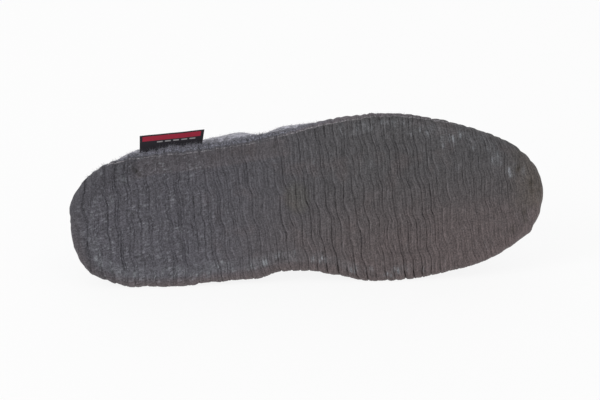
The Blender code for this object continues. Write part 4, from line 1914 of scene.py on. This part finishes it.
@dataclass(frozen=True)
class RibbonFinish:
    """Black woven ribbon with a plain red band and a thin pale line, the same on both faces."""

    black: Colour = (0.013, 0.011, 0.016)
    red: Colour = (0.33, 0.011, 0.036)
    pale: Colour = (0.40, 0.39, 0.40)
    dash: float = 4.6 * MM
    red_from: float = 0.8 * MM
    red_to: float = 3.4 * MM
    red_run: tuple[float, float] = (1.6 * MM, 34.2 * MM)
    line_at: float = 4.4 * MM
    line_half: float = 0.30 * MM
    line_run: tuple[float, float] = (9 * MM, 32 * MM)
    dash_gap: float = 0.18
    thread: float = 0.42 * MM
    weave_depth: float = 0.12 * MM

    def make(self) -> bpy.types.Material:
        """Makes the material.

        Returns:
            The material.
        """
        look = Finish("ribbon_finish", Roughness=0.8, Specular_IOR_Level=0.25, Sheen_Weight=0.15)
        run, out, _ = look.parts(look.mark("ribbon"))
        warp = (run * (2 * math.pi / self.thread)).sine()
        weft = (out * (2 * math.pi / self.thread)).sine()
        weave = warp * weft * 0.5 + 0.5
        red = out.within(self.red_from, self.red_to, 0.12 * MM) * run.within(*self.red_run, 0.15 * MM)
        line = out.within(self.line_at - self.line_half, self.line_at + self.line_half, 0.08 * MM)
        colour = look.mix(self.black, self.red, red * (0.75 + weave * 0.25))
        dash = (run / self.dash).fraction().within(self.dash_gap, 1 - self.dash_gap, 0.06)
        colour = look.mix(colour, self.pale, line * dash * 0.75 * run.within(*self.line_run, 0.3 * MM))
        look.feed("Base Color", look.shade(colour, 0.85 + weave * 0.3))
        look.relief(weave, self.weave_depth)
        return look.material


@dataclass(frozen=True)
class FlagLabel:
    """Ribbon folded once and sewn in above the sole's edge on the outer side."""

    last: Last
    inset: float
    low: float
    start: float = 45.2 * MM
    run: float = 36.0 * MM
    skew: float = 2.9 * MM
    cut: float = 21.6 * MM
    out: tuple[float, float] = (8.3 * MM, 7.2 * MM)
    thickness: float = 1.0 * MM
    ribbon: float = 0.38 * MM
    steps: int = 72
    reach_steps: int = 14
    fold_steps: int = 8
    flutter: float = 0.3 * MM
    # half turns along the ribbon, start and share of its waves
    waves: Rows = ((2.1, 0.6, 1.0), (5.3, 0.0, 0.5))
    sharp: float = math.radians(50)

    def profile(self, reach: float) -> Array:
        """Section of the folded ribbon.

        Args:
            reach: Length from the seam to the fold.

        Returns:
            A ring of points: distance from the seam, and height.
        """
        radius = self.thickness / 2
        slit = radius - self.ribbon
        straight = np.linspace(0, reach - radius, self.reach_steps)
        turn = np.linspace(-math.pi / 2, math.pi / 2, self.fold_steps + 2)[1:-1]

        def band(size: float) -> Array:
            """One face of the ribbon, out along the lower layer and back along the upper.

            Args:
                size: Distance of the face from the fold's middle.

            Returns:
                Its points.
            """
            fold = np.stack([reach - radius + size * np.cos(turn), radius + size * np.sin(turn)], axis=1)
            lower = np.stack([straight, np.full(len(straight), radius - size)], axis=1)
            upper = np.stack([straight[::-1], np.full(len(straight), radius + size)], axis=1)
            return np.concatenate([lower, fold, upper])

        return np.concatenate([band(radius), band(slit)[::-1]])

    def build(self) -> bpy.types.Object:
        """Makes the label as one closed piece.

        Returns:
            The piece.
        """
        share = np.linspace(0, 1, self.steps)
        turns = self.last.turn_of((self.start + self.run * share) / self.last.length)
        seat_turns = self.last.turn_of((self.start - self.skew + self.run * share) / self.last.length)
        seat, _ = self.last.edge(seat_turns, Side.OUTER, -self.inset)
        first, second = (self.last.edge(turns[k], Side.OUTER, out)[0] for k, out in zip((0, -1), self.out))
        tip = first + (second - first) * share[:, None]
        rings, marks = [], []
        for at, root, end in zip(share, seat, tip):
            reach = float(np.linalg.norm(end - root))
            ring = self.profile(reach)
            far = ring[:, 0] / reach
            flat = root + (end - root) * far[:, None]
            wave = sum(part * math.sin(turn * math.pi * at + begin) for turn, begin, part in self.waves)
            height = self.low + ring[:, 1] + self.flutter * wave * far**2
            rings.append(np.concatenate([flat, height[:, None]], axis=1))
            run = np.full(len(ring), at * self.run)
            marks.append(np.stack([run, reach - ring[:, 0], ring[:, 1]], axis=1))
        rings = np.array(rings)
        rows, count, _ = rings.shape
        faces = grid_faces(rows, count, closed=True)
        half = count // 2
        for end in (0, (rows - 1) * count):
            back = end + count - 1
            faces += [(end + k, end + k + 1, back - k - 1, back - k) for k in range(half - 1)]
        named = {"ribbon": np.concatenate(marks)}
        piece = add_piece("flag_label", self.last.settled(rings).reshape(-1, 3), faces, named)
        piece.data.set_sharp_from_angle(angle=self.sharp)
        piece.data.materials.append(RibbonFinish().make())
        return piece

    def dress(self, piece: bpy.types.Object) -> None:
        """Puts the label in the place of its solid.

        Args:
            piece: The piece.
        """
        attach(piece, BODY)
        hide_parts("label")


# Floor, light and camera


@dataclass(frozen=True)
class Studio:
    """Plain pale floor, soft light and a camera at the photograph's angle."""

    aim: tuple[float, float, float] = (-3.8 * MM, -28.5 * MM, 48.1 * MM)
    azimuth: float = math.radians(0.17)
    elevation: float = math.radians(22.0)
    roll: float = math.radians(-1.64)
    distance: float = 1.2
    sensor: float = 36.0
    lens: float = 126.65
    clip_start: float = 0.05
    floor_size: float = 12.0
    floor_colour: Colour = (0.09, 0.09, 0.09)
    floor_glow: float = 0.87
    sky: Colour = (1.0, 1.0, 1.0)
    sky_strength: float = 0.86
    # name, place, size, watts
    lamps: tuple[tuple[str, tuple[float, float, float], float, float], ...] = (
        ("key", (-1.35, -0.75, 1.0), 0.9, 12.0),
        ("fill", (1.2, -1.3, 1.3), 1.4, 4.0),
    )

    def add_floor(self) -> None:
        """A wide plain floor."""
        half = self.floor_size / 2
        mesh = bpy.data.meshes.new("floor")
        corners = [(-half, -half, 0), (half, -half, 0), (half, half, 0), (-half, half, 0)]
        mesh.from_pydata(corners, [], [(0, 1, 2, 3)])
        look = Finish(
            "floor_finish",
            Base_Color=(*self.floor_colour, 1.0),
            Roughness=0.9,
            Specular_IOR_Level=0.1,
            Emission_Color=(1.0, 1.0, 1.0, 1.0),
            Emission_Strength=self.floor_glow,
        )
        mesh.materials.append(look.material)
        floor = bpy.data.objects.new("floor", mesh)
        bpy.context.scene.collection.objects.link(floor)

    def add_light(self) -> None:
        """An even bright room and soft lamps."""
        scene = bpy.context.scene
        world = bpy.data.worlds.new("room")
        world.use_nodes = True
        room = world.node_tree.nodes["Background"]
        room.inputs["Color"].default_value = (*self.sky, 1.0)
        room.inputs["Strength"].default_value = self.sky_strength
        scene.world = world
        for name, place, size, watts in self.lamps:
            lamp = bpy.data.lights.new(name, "AREA")
            lamp.shape = "DISK"
            lamp.size = size
            lamp.energy = watts
            made = bpy.data.objects.new(name, lamp)
            made.location = place
            made.rotation_euler = (Vector(self.aim) - Vector(place)).to_track_quat("-Z", "Y").to_euler()
            scene.collection.objects.link(made)
        scene.view_settings.view_transform = "Standard"
        scene.view_settings.look = "None"

    def add_camera(self) -> None:
        """The camera, rolled a little as in the photograph."""
        flat = math.cos(self.elevation)
        to_camera = Vector(
            (math.sin(self.azimuth) * flat, -math.cos(self.azimuth) * flat, math.sin(self.elevation))
        )
        right = (-to_camera).cross(Vector((0, 0, 1))).normalized()
        up = right.cross(-to_camera)
        rolled_right = right * math.cos(self.roll) + up * math.sin(self.roll)
        rolled_up = up * math.cos(self.roll) - right * math.sin(self.roll)
        lens = bpy.data.cameras.new("camera")
        lens.sensor_width = self.sensor
        lens.lens = self.lens
        lens.clip_start = self.clip_start
        camera = bpy.data.objects.new("camera", lens)
        turn = Matrix((rolled_right, rolled_up, to_camera)).transposed().to_4x4()
        camera.matrix_world = Matrix.Translation(Vector(self.aim) + to_camera * self.distance) @ turn
        bpy.context.scene.collection.objects.link(camera)
        bpy.context.scene.camera = camera


def report(piece: bpy.types.Object) -> None:
    """Logs a finished piece and its triangles."""
    triangles = sum(len(face.vertices) - 2 for face in piece.data.polygons)
    LOG.info("%s: %d triangles", piece.name, triangles)


def main() -> None:
    """Builds the slipper piece by piece, then the studio round it."""
    logging.basicConfig(level=logging.INFO, format="%(name)s %(message)s")
    last = Last()
    sole = RubberSole(last)
    upper_inset = sole.rim_inset + sole.side_wall + SEAT_GAP
    seat = sole.thickness + SEAT_GAP
    upper = FeltUpper(last, inset=upper_inset, seat=seat)
    insole = Insole(last, inset=upper_inset + upper.felt + 2 * SEAT_GAP, seat=seat)
    label = FlagLabel(last, inset=upper_inset - SEAT_GAP, low=sole.side_height + SEAT_GAP)

    rubber = sole.build()
    sole.dress(rubber)
    felt = upper.build()
    upper.dress(felt)
    footbed = insole.build()
    insole.dress(footbed)
    ribbon = label.build()
    label.dress(ribbon)
    # the wool on the rim gets darker fibres than the felt's nap: painted shade low by the sole
    shaded_rim_wool = NapFinish("shaded_fuzz_finish", light=(0.30, 0.305, 0.35), dark=(0.05, 0.05, 0.062))
    fluff = []
    for nap, bearer in (
        (Nap("felt_nap", NapFinish("nap_finish"), per_square_metre=150000.0, length=1.5 * MM), felt),
        (Nap("rim_fuzz", shaded_rim_wool, per_square_metre=1600000.0, length=1.9 * MM), rubber),
    ):
        fibres = nap.build(bearer)
        nap.dress(fibres)
        fluff.append(fibres)
    for piece in (rubber, felt, footbed, ribbon, *fluff):
        report(piece)

    studio = Studio()
    studio.add_floor()
    studio.add_light()
    studio.add_camera()
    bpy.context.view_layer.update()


if __name__ == "__main__":
    main()
